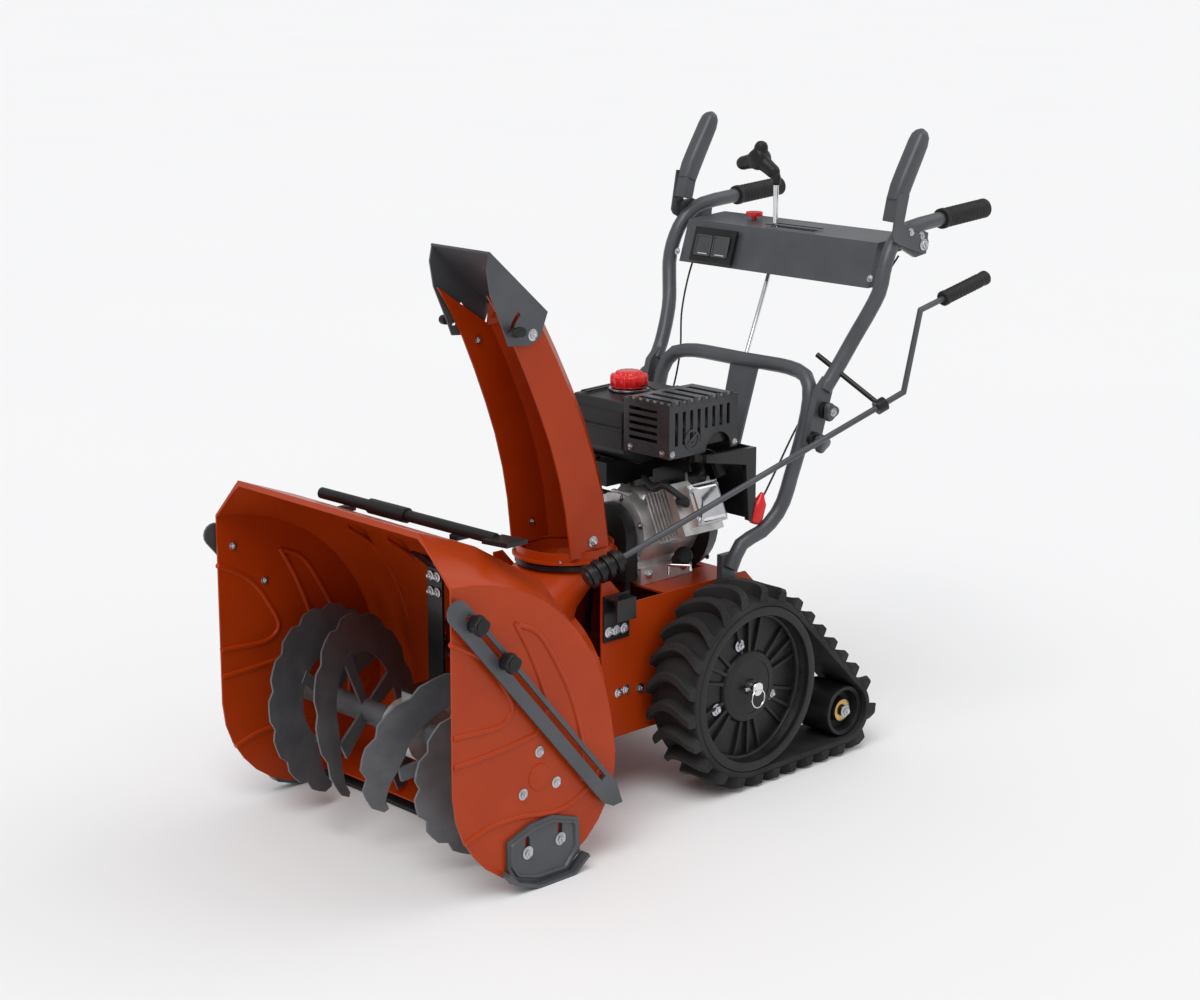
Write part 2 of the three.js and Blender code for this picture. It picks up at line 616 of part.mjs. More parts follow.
function eyeRod(radius) {
  const through = V(203, 903, 664);
  const reach = through.clone().sub(CRANK_BUSH).normalize();
  return rod(CRANK_BUSH, through.clone().addScaledVector(reach, 42), radius, 12);
}

// Handles
function lowerHandle() {
  const half = [V(146, 716, 348), V(149, 738, 386), V(156, 782, 403), V(162, 818, 436), V(167, 842, 500),
    V(172, 860, 560), V(172, 874, 618), V(158, 884, 645), V(128, 890, 655)];
  const route = [...half, V(0, 890, 657), ...half.slice().reverse().map((p) => V(-p.x, p.y, p.z))];
  const frame = tube(route, TUBE, 48, 10);
  const foot = box(130.4, 142, 700, 732, 296, 372);
  const brace = slab('y', [[-18, 650], [44, 650], [42, 440], [-6, 440]], 884, 889)
    .translate([0, -886, -650]).rotate([-18, 0, 0]).translate([0, 886, 650]);
  return union([frame, foot, mirrored(foot), brace]);
}

function upperHandle(side) {
  const route = [V(197, 881, 632), V(202, 901, 660), V(217, 934, 720), V(232, 950, 760), V(243, 961, 794),
    V(243, 970, 826), V(240, 990, 862), V(238, 1020, 884), V(237, 1060, 892), V(236, 1120, 897)];
  const round = tube(route, TUBE, 24, 10);
  const stub = rod(V(236, 1118, 896.8), V(236, 1234, 905), 11, 16);
  const flat = slab('x', [[834, 540], [866, 536], [898, 632], [884, 654], [862, 634]], 189.5, 202);
  const bracket = slab('x', [[1020, 900], [1072, 880], [1068, 846], [1040, 842], [1000, 862], [992, 896]],
    245, 252).subtract(rod(V(240, LEVER.y, LEVER.z), V(260, LEVER.y, LEVER.z), 4.4, 12));
  const body = union([round, stub, flat, bracket]);
  return side > 0 ? body.subtract(eyeRod(5)) : mirrored(body);
}

function handleKnob(side) {
  const star = Array.from({ length: 18 }, (_, i) => {
    const angle = (i / 18) * 2 * Math.PI;
    const reach = 11 + 4 * Math.cos(3 * angle);
    return [HANDLE_KNOB.y + reach * Math.cos(angle), HANDLE_KNOB.z + reach * Math.sin(angle)];
  });
  const { y, z } = HANDLE_KNOB;
  const body = slab('x', star, 205, 224).add(rod(V(202.4, y, z), V(206, y, z), 9, 14));
  return side > 0 ? body : mirrored(body);
}

function grip(side) {
  const along = V(0, 116, 8.2).normalize();
  const start = V(236, 1124, 897.2);
  const sleeve = rod(start, V(236, 1244, 905.7), 17, 18);
  const bore = rod(start.clone().addScaledVector(along, -5), V(236, 1234.5, 905.05), 11.3, 16);
  const body = sleeve.subtract(bore);
  return side > 0 ? body : mirrored(body);
}

function controlLever(side) {
  const outerFace = 255.5;
  const ear = slab('x', [[1068, 854], [1050, 848], [996, 866], [974, 882], [988, 952], [1016, 948],
    [1004, 900], [1066, 874]], 252.4, outerFace);
  const cover = slab('x', [[988, 944], [1018, 950], [1072, 1030], [1070, 1044], [1060, 1053], [1048, 1051]],
    224, outerFace);
  const pin = rod(V(243, LEVER.y, LEVER.z), V(258, LEVER.y, LEVER.z), 4, 12);
  const arm = slab('x', [[980, 908], [1004, 902], [1018, 950], [988, 948]], 228, outerFace);
  const body = union([ear, cover, arm, pin]);
  return side > 0 ? body : mirrored(body);
}

// Console, lamp and shift lever
function consoleBody() {
  const side = [[960, 795], [984, 868], [1076, 874], [1074, 852], [1010, 846], [984, 795]];
  const inner = [[964, 790], [987, 864], [1073, 870], [1073, 838], [1016, 838], [990, 790]];
  const outer = slab('x', side, -218, 218);
  const slot = box(-44, 58, 1004, 1020, 850, 890);
  const keyHole = rod(V(-108, 1036, 850), V(-108, 1036, 890), 5, 14);
  const lampHole = box(-176, -100, 950, 990, 812, 848);
  return cut(outer, [slab('x', inner, -215, 215), slot, keyHole, lampHole]);
}

function lamp() {
  const body = slab('x', [[953, 801], [972, 859], [977, 857.5], [958.5, 799.5]], -187, -88);
  const can = slab('x', [[958, 815], [967, 845], [992, 845], [986, 815]], -174, -102);
  return body.translate([0, -1.2, 0.4]).add(can);
}

function shiftLever() {
  const stem = rod(V(-36, 1012, 808), V(-36, 1012, 966), 4.5, 10);
  const eye = rod(V(-36, 1006, 806), V(-36, 1018, 806), 11, 14);
  const centre = V(-76, 1012, 982);
  const lobes = [V(-116, 1012, 972), V(-72, 1012, 1004), V(-42, 1012, 962)];
  const arms = lobes.map((end) => rod(centre, end, 14, 10, 11).add(ball(end, 11, 8)));
  return union([stem, eye, ...arms]);
}

function shiftRod() {
  const top = V(-34, 996, 790);
  const low = V(-24, 826, 400);
  return rod(low, top, 4, 10).add(ball(low, 7, 8));
}

function ignitionKey() {
  const bow = rod(V(-108, 1036, 879), V(-108, 1036, 886), 15, 20);
  return bow.add(rod(V(-108, 1036, 848), V(-108, 1036, 880), 4.4, 12));
}

function rearPanel() {
  const outer = slab('x', [[650, 550], [768, 546], [768, 424], [752, 424], [744, 520], [650, 538]], 143, 152);
  const sheet = box(-152, 152, 764, 768, 424, 546);
  const far = mirrored(outer);
  return union([outer, sheet, far]).subtract(rod(V(-66, 755, 476), V(-66, 775, 476), 12));
}

// Tracks and running gear
function trackLoop(offset, lugged) {
  const dy = IDLER.y - WHEEL.y;
  const dz = IDLER.z - WHEEL.z;
  const apart = Math.hypot(dy, dz);
  const along = Math.atan2(dz, dy);
  const lean = Math.acos((WHEEL.radius - IDLER.radius) / apart);
  const a = (angle) => THREE.MathUtils.radToDeg(angle);
  const big = WHEEL.radius + offset;
  const small = IDLER.radius + offset;
  const path = [...arc(WHEEL.y, WHEEL.z, big, a(along + lean), 360 + a(along - lean), 28),
    ...arc(IDLER.y, IDLER.z, small, a(along - lean), a(along + lean), 9)];
  return lugged ? addLugs(path) : path;
}

function addLugs(path) {
  const curve = new THREE.CurvePath();
  path.forEach(([y, z], i) => {
    const [ny, nz] = path[(i + 1) % path.length];
    curve.add(new THREE.LineCurve(new THREE.Vector2(y, z), new THREE.Vector2(ny, nz)));
  });
  const out = [];
  for (let i = 0; i < TRACK.lugs; i += 1) {
    for (const [step, height] of [[0, 0], [0.04, TRACK.lug], [0.36, TRACK.lug], [0.4, 0]]) {
      const u = (i + step) / TRACK.lugs;
      const point = curve.getPointAt(u);
      const heading = curve.getTangentAt(u);
      out.push([point.x + heading.y * height, point.y - heading.x * height]);
    }
  }
  return out;
}

function trackBelt(side) {
  const body = slab('x', trackLoop(TRACK.carcass, true), TRACK.x0, TRACK.x1, [trackLoop(1, false)]);
  const level = body.subtract(box(100, 300, 400, 1100, -60, 0));
  return side > 0 ? level : mirrored(level);
}

function turned(profile, y, z, sides) {
  const geometry = new THREE.LatheGeometry(profile.map(([r, x]) => new THREE.Vector2(r, x)), sides);
  geometry.rotateZ(-Math.PI / 2);
  geometry.translate(0, y, z);
  return solid(geometry);
}

function driveWheel(side) {
  const r = WHEEL.radius;
  const profile = [[13, 160], [30, 160], [30, 204], [110, 206], [122, 156], [r, 156], [r, 240], [126, 240],
    [118, 214], [60, 216], [52, 224], [13, 224], [13, 160]];
  const ribs = Array.from({ length: 6 }, (_, i) => box(206, 222, -3, 3, 56, 122).rotate([i * 60, 0, 0])
    .translate([0, WHEEL.y, WHEEL.z]));
  const body = union([turned(profile, WHEEL.y, WHEEL.z, 28), ...ribs]);
  return side > 0 ? body : mirrored(body);
}

function driveAxle() {
  const axle = rod(V(-238, WHEEL.y, WHEEL.z), V(238, WHEEL.y, WHEEL.z), 12.5, 24);
  const pin = (side) => rod(V(side * 231, WHEEL.y - 20, WHEEL.z), V(side * 231, WHEEL.y + 20, WHEEL.z),
    3.5, 10);
  return union([axle, pin(1), pin(-1)]);
}

function idlerWheel(side) {
  const r = IDLER.radius;
  const profile = [[9, 164], [20, 164], [24, 190], [34, 190], [36, 160], [r, 160], [r, 232], [36, 232],
    [32, 214], [22, 214], [18, 226], [9, 226], [9, 164]];
  const body = turned(profile, IDLER.y, IDLER.z, 24);
  return side > 0 ? body : mirrored(body);
}

function trackFrame(side) {
  const plate = slab('x', [[664, 198], [702, 198], [860, 118], [932, 96], [932, 58], [896, 56], [820, 90],
    [664, 142]], 136, 143, [circle(WHEEL.y, WHEEL.z, 13.2)]);
  const pin = rod(V(140, IDLER.y, IDLER.z), V(236, IDLER.y, IDLER.z), 8.5, 16);
  const block = box(142, 196, 838, 858, 88, 132);
  const mount = box(130.4, 137, 700, 760, 130, 160);
  const body = union([plate, pin, block, mount]);
  return side > 0 ? body : mirrored(body);
}

function cleanoutTool() {
  const stick = rod(V(-150, 108, 527), V(222, 140, 519), 9, 12);
  const handle = rod(V(-40, 117.5, 524.6), V(40, 124.3, 522.9), 12, 12);
  const blade = slab('z', [[216, 118], [262, 126], [262, 166], [216, 158]], 515, 522);
  return union([stick, handle, blade]);
}

function cable(side) {
  const near = [V(221, 1034, 842), V(214, 990, 790), V(198, 948, 712), V(170, 915, 640), V(150, 870, 566),
    V(147, 824, 500), V(145, 792, 455), V(145, 772, 436)];
  const body = tube(near, 2.6, 20, 6);
  return side > 0 ? body : mirrored(body);
}

const machine = new THREE.Group();
machine.position.y = -MIDDLE_Y;
const SIDES = { left: 1, right: -1 };
const pair = (name, make, finish) => Object.entries(SIDES).map(([side, sign]) => (
  node(`${name}_${side}`, make(sign), finish)));
const bothSides = (make) => (sign) => (sign > 0 ? make() : mirrored(make()));

machine.add(
  node('auger_housing', augerHousing(), ORANGE),
  node('scraper_bar', scraperBar(), BLACK),
  ...pair('skid_shoe', bothSides(skidShoe), GREY),
  ...pair('drift_cutter', bothSides(driftCutter), GREY),
  node('gearbox_brace', gearboxBrace(), BLACK),
  node('auger_gearbox', augerGearbox(), CAST),
  node('auger_shaft', augerShaft(), STEEL),
  ...pair('auger', augerHalf, GREY),
  node('impeller', impeller(), STEEL),
  node('crankshaft', crankshaft(), STEEL),
  node('auger_belt', augerBelt(), RUBBER),
  node('belt_cover', beltCover(), BLACK),
  node('chassis', chassis(), ORANGE),
  node('engine_block', engineBlock(), CAST),
  node('cylinder_head', cylinderHead(), CAST),
  node('muffler', muffler(), BLACK),
  node('muffler_guard', mufflerGuard(), GREY),
  node('fuel_tank', fuelTank(), BLACK),
  node('fuel_cap', fuelCap(), RED),
  node('intake_box', intakeBox(), BLACK),
  node('recoil_cover', recoilCover(), BLACK),
  node('recoil_handle', recoilHandle(), BLACK),
  node('chute_ring', chuteRing(), BLACK),
  node('chute', chute(), ORANGE),
  node('deflector', deflector(), GREY),
  node('crank_rod', crankRod(), GREY),
  node('crank_grip', crankGrip(), RUBBER),
  node('crank_worm', crankWorm(), BLACK),
  node('crank_bracket', crankBracket(), BLACK),
  node('crank_eye', crankEye(), BLACK),
  node('lower_handle', lowerHandle(), GREY),
  ...pair('upper_handle', upperHandle, GREY),
  ...pair('handle_knob', handleKnob, BLACK),
  ...pair('grip', grip, RUBBER),
  ...pair('control_lever', controlLever, GREY),
  node('console', consoleBody(), GREY),
  node('lamp', lamp(), BLACK),
  node('shift_lever', shiftLever(), STEEL),
  node('shift_rod', shiftRod(), STEEL),
  node('ignition_key', ignitionKey(), RED),
  node('rear_panel', rearPanel(), BLACK),
  ...pair('track_belt', trackBelt, RUBBER),
  ...pair('drive_wheel', driveWheel, BLACK),
  node('drive_axle', driveAxle(), STEEL),
  ...pair('idler', idlerWheel, BLACK),
  ...pair('track_frame', trackFrame, BLACK),
  node('cleanout_tool', cleanoutTool(), BLACK),
  ...pair('clutch_cable', cable, BLACK),
);

const part = new THREE.Group();
part.add(machine);

export default part;
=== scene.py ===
"""Looks for the tracked snow blower: materials, rounded edges, fasteners, treads, cables and lights."""

import math

import bmesh
import bpy
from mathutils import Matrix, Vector


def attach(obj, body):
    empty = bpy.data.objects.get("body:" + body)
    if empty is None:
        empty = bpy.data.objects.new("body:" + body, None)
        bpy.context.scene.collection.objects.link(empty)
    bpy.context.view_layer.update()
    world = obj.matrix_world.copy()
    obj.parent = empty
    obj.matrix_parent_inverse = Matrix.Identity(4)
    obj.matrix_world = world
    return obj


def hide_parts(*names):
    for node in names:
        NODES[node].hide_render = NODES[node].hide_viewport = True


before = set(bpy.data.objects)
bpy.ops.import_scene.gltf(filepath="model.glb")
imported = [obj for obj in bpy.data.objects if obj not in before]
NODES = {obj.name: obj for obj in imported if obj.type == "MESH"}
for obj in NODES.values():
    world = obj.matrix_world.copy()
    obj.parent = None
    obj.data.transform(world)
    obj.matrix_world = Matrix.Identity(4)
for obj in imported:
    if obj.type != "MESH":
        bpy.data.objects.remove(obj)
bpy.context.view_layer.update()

MIDDLE_Y = 619            # lengths along Y are counted in millimetres from the housing's mouth
SIDES = {"left": 1, "right": -1}


def at(x, y, z):
    """A point in metres from millimetres, with y counted from the housing's mouth."""
    return Vector((x / 1000, (y - MIDDLE_Y) / 1000, z / 1000))


# Materials

NOISE_RANGE = (0.35, 0.65)
NOISE_DETAIL = {"broad": 5, "fine": 4}
COAT_ROUGHNESS = 0.12
BLACK_TONE = (0.010, 0.010, 0.011)
BLACK_REACH = 0.2975      # metres from the middle plane: only the housing's studs and knobs reach past it


def new_material(name):
    """An empty material, its node tree and its shader."""
    material = bpy.data.materials.new(name)
    material.use_nodes = True
    tree = material.node_tree
    return material, tree, tree.nodes["Principled BSDF"]


def noise(tree, scale, detail, stretch=(1, 1, 1)):
    """A noise texture fixed to the object, in features per metre."""
    coords = tree.nodes.new("ShaderNodeTexCoord")
    mapping = tree.nodes.new("ShaderNodeMapping")
    mapping.inputs["Scale"].default_value = stretch
    texture = tree.nodes.new("ShaderNodeTexNoise")
    texture.inputs["Scale"].default_value = scale
    texture.inputs["Detail"].default_value = detail
    tree.links.new(coords.outputs["Object"], mapping.inputs["Vector"])
    tree.links.new(mapping.outputs["Vector"], texture.inputs["Vector"])
    return texture.outputs["Fac"]


def spread(tree, value, low, high):
    """Maps a noise value to a range. Noise stays mostly within NOISE_RANGE."""
    node = tree.nodes.new("ShaderNodeMapRange")
    for socket, number in zip(("From Min", "From Max", "To Min", "To Max"), (*NOISE_RANGE, low, high)):
        node.inputs[socket].default_value = number
    tree.links.new(value, node.inputs["Value"])
    return node.outputs["Result"]


def blend_colors(tree, factor, first, second):
    """A mix of two colours."""
    node = tree.nodes.new("ShaderNodeMix")
    node.data_type = "RGBA"
    node.inputs["A"].default_value = (*first, 1)
    node.inputs["B"].default_value = (*second, 1)
    tree.links.new(factor, node.inputs["Factor"])
    return node.outputs["Result"]


def add_bump(tree, shader, value, distance):
    """Relief from a value, with a depth in metres."""
    node = tree.nodes.new("ShaderNodeBump")
    node.inputs["Distance"].default_value = distance
    node.inputs["Strength"].default_value = 1.0
    tree.links.new(value, node.inputs["Height"])
    tree.links.new(node.outputs["Normal"], shader.inputs["Normal"])


def finish_material(name, tones, gloss, patch, grain, metallic=0.0, coat=0.0, stretch=(1, 1, 1), sheen=0.3):
    """tones: two colours. gloss: range of roughness. patch: features per metre of the tone.
    grain: features per metre and depth in metres of the fine relief."""
    material, tree, shader = new_material(name)
    broad = noise(tree, patch, NOISE_DETAIL["broad"])
    fine = noise(tree, grain[0], NOISE_DETAIL["fine"], stretch)
    tree.links.new(blend_colors(tree, spread(tree, broad, 0, 1), *tones), shader.inputs["Base Color"])
    tree.links.new(spread(tree, fine, *gloss), shader.inputs["Roughness"])
    shader.inputs["Metallic"].default_value = metallic
    shader.inputs["Specular IOR Level"].default_value = sheen
    shader.inputs["Coat Weight"].default_value = coat
    shader.inputs["Coat Roughness"].default_value = COAT_ROUGHNESS
    add_bump(tree, shader, fine, grain[1])
    return material


def black_ends(name, base, reach):
    """A copy of a finish that turns black further from the middle plane than a reach in metres."""
    material = base.copy()
    material.name = name
    tree = material.node_tree
    shader = tree.nodes["Principled BSDF"]
    coords = tree.nodes.new("ShaderNodeTexCoord")
    split = tree.nodes.new("ShaderNodeSeparateXYZ")
    size = tree.nodes.new("ShaderNodeMath")
    size.operation = "ABSOLUTE"
    past = tree.nodes.new("ShaderNodeMath")
    past.operation = "GREATER_THAN"
    past.inputs[1].default_value = reach
    tree.links.new(coords.outputs["Object"], split.inputs["Vector"])
    tree.links.new(split.outputs["X"], size.inputs[0])
    tree.links.new(size.outputs["Value"], past.inputs[0])
    mix = tree.nodes.new("ShaderNodeMix")
    mix.data_type = "RGBA"
    mix.inputs["B"].default_value = (*BLACK_TONE, 1)
    paint = shader.inputs["Base Color"].links[0].from_socket
    tree.links.new(past.outputs["Value"], mix.inputs["Factor"])
    tree.links.new(paint, mix.inputs["A"])
    tree.links.new(mix.outputs["Result"], shader.inputs["Base Color"])
    return material


ORANGE = finish_material("orange_powder_coat", ((0.430, 0.042, 0.002), (0.380, 0.035, 0.002)), (0.30, 0.40),
                         9, (900, 0.00004), coat=0.06, sheen=0.22)
GREY = finish_material("grey_powder_coat", ((0.090, 0.095, 0.104), (0.074, 0.078, 0.086)), (0.36, 0.48), 14,
                       (1200, 0.00005), metallic=0.25, coat=0.15)
BLADE = finish_material("blade_paint", ((0.125, 0.131, 0.140), (0.165, 0.172, 0.182)), (0.30, 0.50), 22,
                        (500, 0.00008), metallic=0.45, stretch=(1, 1, 4))
BLACK = finish_material("black_powder_coat", ((0.008, 0.008, 0.009), (0.014, 0.014, 0.015)), (0.22, 0.36), 18,
                        (1100, 0.00004), coat=0.12)
PLASTIC = finish_material("black_plastic", ((0.009, 0.009, 0.010), (0.015, 0.015, 0.016)), (0.32, 0.48), 25,
                          (1800, 0.00007))
TREAD = finish_material("track_rubber", ((0.013, 0.013, 0.013), (0.030, 0.029, 0.028)), (0.62, 0.86), 16,
                        (700, 0.00018))
SOFT = finish_material("grip_rubber", ((0.014, 0.014, 0.015), (0.022, 0.022, 0.023)), (0.50, 0.66), 30,
                       (1500, 0.00008))
STEEL = finish_material("zinc_steel", ((0.60, 0.61, 0.63), (0.44, 0.45, 0.48)), (0.20, 0.36), 40,
                        (600, 0.00003), metallic=1.0, stretch=(1, 1, 12))
CHROME = finish_material("bright_steel", ((0.78, 0.79, 0.80), (0.66, 0.67, 0.69)), (0.07, 0.16), 30,
                         (300, 0.00001), metallic=1.0)
CAST = finish_material("cast_aluminium", ((0.72, 0.72, 0.71), (0.52, 0.52, 0.51)), (0.32, 0.48), 35,
                       (850, 0.00022), metallic=0.75)
BRASS = finish_material("brass", ((0.62, 0.43, 0.18), (0.48, 0.31, 0.12)), (0.22, 0.36), 60,
                        (700, 0.00003), metallic=1.0)
SOOT = finish_material("guard_paint", ((0.028, 0.029, 0.031), (0.040, 0.041, 0.044)), (0.22, 0.36), 20,
                       (900, 0.00005), coat=0.1)
RED = finish_material("red_plastic", ((0.74, 0.012, 0.014), (0.62, 0.010, 0.012)), (0.22, 0.34), 25,
                      (1300, 0.00004), coat=0.3)
LENS = finish_material("smoked_lens", ((0.030, 0.032, 0.036), (0.045, 0.047, 0.052)), (0.06, 0.14), 20,
                       (500, 0.00002), coat=1.0)

HOUSING = black_ends("housing_paint", ORANGE, BLACK_REACH)


# Smooth shading and rounded edges, as modifiers

SHARP_EDGE, ROUNDED_EDGE, FLAT_EDGE = 44, 40, 1      # degrees
WELD_GAP = 0.00001                                   # metres


def smoothing_group(name, degrees):
    """Shades a mesh smooth, apart from edges sharper than an angle."""
    group = bpy.data.node_groups.new(name, "GeometryNodeTree")
    group.interface.new_socket("Geometry", in_out="INPUT", socket_type="NodeSocketGeometry")
    group.interface.new_socket("Geometry", in_out="OUTPUT", socket_type="NodeSocketGeometry")
    start = group.nodes.new("NodeGroupInput")
    faces = group.nodes.new("GeometryNodeSetShadeSmooth")
    edges = group.nodes.new("GeometryNodeSetShadeSmooth")
    edges.domain = "EDGE"
    edges.inputs["Shade Smooth"].default_value = False
    angle = group.nodes.new("GeometryNodeInputMeshEdgeAngle")
    sharper = group.nodes.new("FunctionNodeCompare")
    sharper.inputs["B"].default_value = math.radians(degrees)
    end = group.nodes.new("NodeGroupOutput")
    group.links.new(start.outputs[0], faces.inputs["Geometry"])
    group.links.new(faces.outputs["Geometry"], edges.inputs["Geometry"])
    group.links.new(angle.outputs["Unsigned Angle"], sharper.inputs["A"])
    group.links.new(sharper.outputs["Result"], edges.inputs["Selection"])
    group.links.new(edges.outputs["Geometry"], end.inputs[0])
    return group


SMOOTH = smoothing_group("smooth_by_angle", SHARP_EDGE)


def soften(obj, width, weld=False):
    """Rounds the sharp edges by a width in millimetres, and shades the rest smooth."""
    if weld:
        modifier = obj.modifiers.new("weld", "WELD")
        modifier.merge_threshold = WELD_GAP
        modifier = obj.modifiers.new("flatten", "DECIMATE")
        modifier.decimate_type = "DISSOLVE"
        modifier.angle_limit = math.radians(FLAT_EDGE)
    if width:
        modifier = obj.modifiers.new("round", "BEVEL")
        modifier.width = width / 1000
        modifier.segments = 2
        modifier.limit_method = "ANGLE"
        modifier.angle_limit = math.radians(ROUNDED_EDGE)
    modifier = obj.modifiers.new("smooth", "NODES")
    modifier.node_group = SMOOTH
    if width:
        modifier = obj.modifiers.new("even_normals", "WEIGHTED_NORMAL")
        modifier.keep_sharp = True


def dress(names, material, width):
    """Gives CAD nodes their finish and their rounded edges."""
    for name in names.split():
        obj = NODES[name]
        obj.data.materials.clear()
        obj.data.materials.append(material)
        soften(obj, width, weld=True)


# Building forms. A form is (vertices in metres, faces)

def join(forms):
    """Several forms as one."""
    vertices, faces = [], []
    for points, polygons in forms:
        base = len(vertices)
        vertices.extend(points)
        faces.extend([tuple(i + base for i in polygon) for polygon in polygons])
    return vertices, faces


def mirror(form):
    """A form on the other side of the machine's middle plane."""
    points, polygons = form
    return [Vector((-p.x, p.y, p.z)) for p in points], [tuple(reversed(f)) for f in polygons]


def loft(rings, closed=False):
    """A skin over rings of equally many points, capped unless it closes on itself."""
    count = len(rings[0])
    points = [p for ring in rings for p in ring]
    faces = []
    for i in range(len(rings) - (0 if closed else 1)):
        low, high = i * count, ((i + 1) % len(rings)) * count
        for j in range(count):
            k = (j + 1) % count
            faces.append((low + j, low + k, high + k, high + j))
    if not closed:
        faces.append(tuple(reversed(range(count))))
        faces.append(tuple(range(len(points) - count, len(points))))
    return points, faces


def around(count):
    """Evenly spaced angles around a circle."""
    return [2 * math.pi * k / count for k in range(count)]


def frame_along(axis):
    """A matrix that turns +Z to an axis."""
    return Vector(axis).normalized().to_track_quat("Z", "Y").to_matrix()


def round_outline(angle):
    """A plain circle, for turned()."""
    return 1.0


def turned(centre, axis, profile, sides=32, outline=round_outline):
    """A turned shape: profile is (radius, height) in millimetres along the axis.
    outline scales the radius at an angle."""
    turn = frame_along(axis)
    rings = []
    for radius, height in profile:
        ring = []
        for angle in around(sides):
            reach = max(radius, 0.05) * outline(angle) / 1000
            spot = Vector((reach * math.cos(angle), reach * math.sin(angle), height / 1000))
            ring.append(centre + turn @ spot)
        rings.append(ring)
    return loft(rings)


def hoop(centre, axis, profile, sides=64):
    """A ring around an axis: profile is a closed outline of (radius, height) in millimetres."""
    turn = frame_along(axis)
    rings = []
    for angle in around(sides):
        rings.append([centre + turn @ Vector((r * math.cos(angle), r * math.sin(angle), h)) / 1000
                      for r, h in profile])
    return loft(rings, closed=True)


def curve_through(points, steps):
    """Points on a centripetal Catmull-Rom curve through a list of points."""
    ends = [points[0] * 2 - points[1], *points, points[-1] * 2 - points[-2]]
    route = []
    for a, b, c, d in zip(ends, ends[1:], ends[2:], ends[3:]):
        knots = [0.0]
        for p, q in ((a, b), (b, c), (c, d)):
            knots.append(knots[-1] + max((q - p).length, 1e-6) ** 0.5)
        t0, t1, t2, t3 = knots
        for i in range(steps):
            t = t1 + (t2 - t1) * i / steps
            ab = a * ((t1 - t) / (t1 - t0)) + b * ((t - t0) / (t1 - t0))
            bc = b * ((t2 - t) / (t2 - t1)) + c * ((t - t1) / (t2 - t1))
            cd = c * ((t3 - t) / (t3 - t2)) + d * ((t - t2) / (t3 - t2))
            abc = ab * ((t2 - t) / (t2 - t0)) + bc * ((t - t0) / (t2 - t0))
            bcd = bc * ((t3 - t) / (t3 - t1)) + cd * ((t - t1) / (t3 - t1))
            route.append(abc * ((t2 - t) / (t2 - t1)) + bcd * ((t - t1) / (t2 - t1)))
    route.append(points[-1].copy())
    return route


def sweep(route, radius, sides=20):
    """A round bar along a route, with no twist. radius is in millimetres."""
    size = radius / 1000
    heading = (route[1] - route[0]).normalized()
    side = heading.orthogonal().normalized()
    rings = []
    for i, point in enumerate(route):
        ahead = route[min(i + 1, len(route) - 1)] - route[max(i - 1, 0)]
        turn = heading.rotation_difference(ahead.normalized())
        side = (turn @ side).normalized()
        heading = ahead.normalized()
        up = heading.cross(side)
        rings.append([point + (side * math.cos(a) + up * math.sin(a)) * size
                      for a in around(sides)])
    return loft(rings)


def plate(outline, axis, low, high):
    """An outline in millimetres extruded along x or y."""
    def place(a, b, depth):
        return at(depth, a, b) if axis == "x" else at(a, depth, b)
    return loft([[place(a, b, low) for a, b in outline], [place(a, b, high) for a, b in outline]])


def block(x0, x1, y0, y1, z0, z1):
    """A box between two corners, in millimetres."""
    return plate([(y0, z0), (y1, z0), (y1, z1), (y0, z1)], "x", x0, x1)


def bolt(centre, axis, size=6, washer=True):
    """A flanged hexagon bolt head standing on a face."""
    head = turned(centre, axis, [(size * 0.92, 0), (size * 0.95, size * 0.15), (size * 0.95, size * 0.62),
                                 (size * 0.78, size * 0.75)], 6)
    flange = turned(centre, axis, [(size * 1.35, -0.2), (size * 1.35, size * 0.16), (size, size * 0.3)], 24)
    end = turned(centre, axis, [(size * 0.48, 0), (size * 0.48, size), (size * 0.4, size * 1.08)], 16)
    return join([head, flange, end] if washer else [head, end])


def knob(centre, axis, radius, height, lobes=3, depth=0.28):
    """A moulded clamp knob with rounded lobes."""
    def lobed(angle):
        return 1 + depth * (math.cos(lobes * angle) - 1) / 2

    shares = ((0.55, 0), (0.6, 0.25), (0.95, 0.35), (1, 0.5), (1, 0.8), (0.9, 0.95), (0.5, 1), (0, 1))
    return turned(centre, axis, [(radius * r, height * h) for r, h in shares], 36, lobed)


def recalculate(mesh):
    """Points every face outward."""
    work = bmesh.new()
    work.from_mesh(mesh)
    bmesh.ops.recalc_face_normals(work, faces=work.faces)
    work.to_mesh(mesh)
    work.free()


def piece(name, form, material, body, replaces="", width=0.0):
    """Adds a form to the object: it rides on a body, and may stand for CAD nodes. width rounds its edges."""
    points, faces = form
    mesh = bpy.data.meshes.new(name)
    mesh.from_pydata([tuple(p) for p in points], [], faces)
    mesh.update()
    mesh.materials.append(material)
    obj = bpy.data.objects.new(name, mesh)
    bpy.context.scene.collection.objects.link(obj)
    recalculate(mesh)
    soften(obj, width)
    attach(obj, body)
    if replaces:
        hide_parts(*replaces.split())
    return obj


# CAD nodes that keep their own shape: their finish, and the width of their rounded edges in millimetres

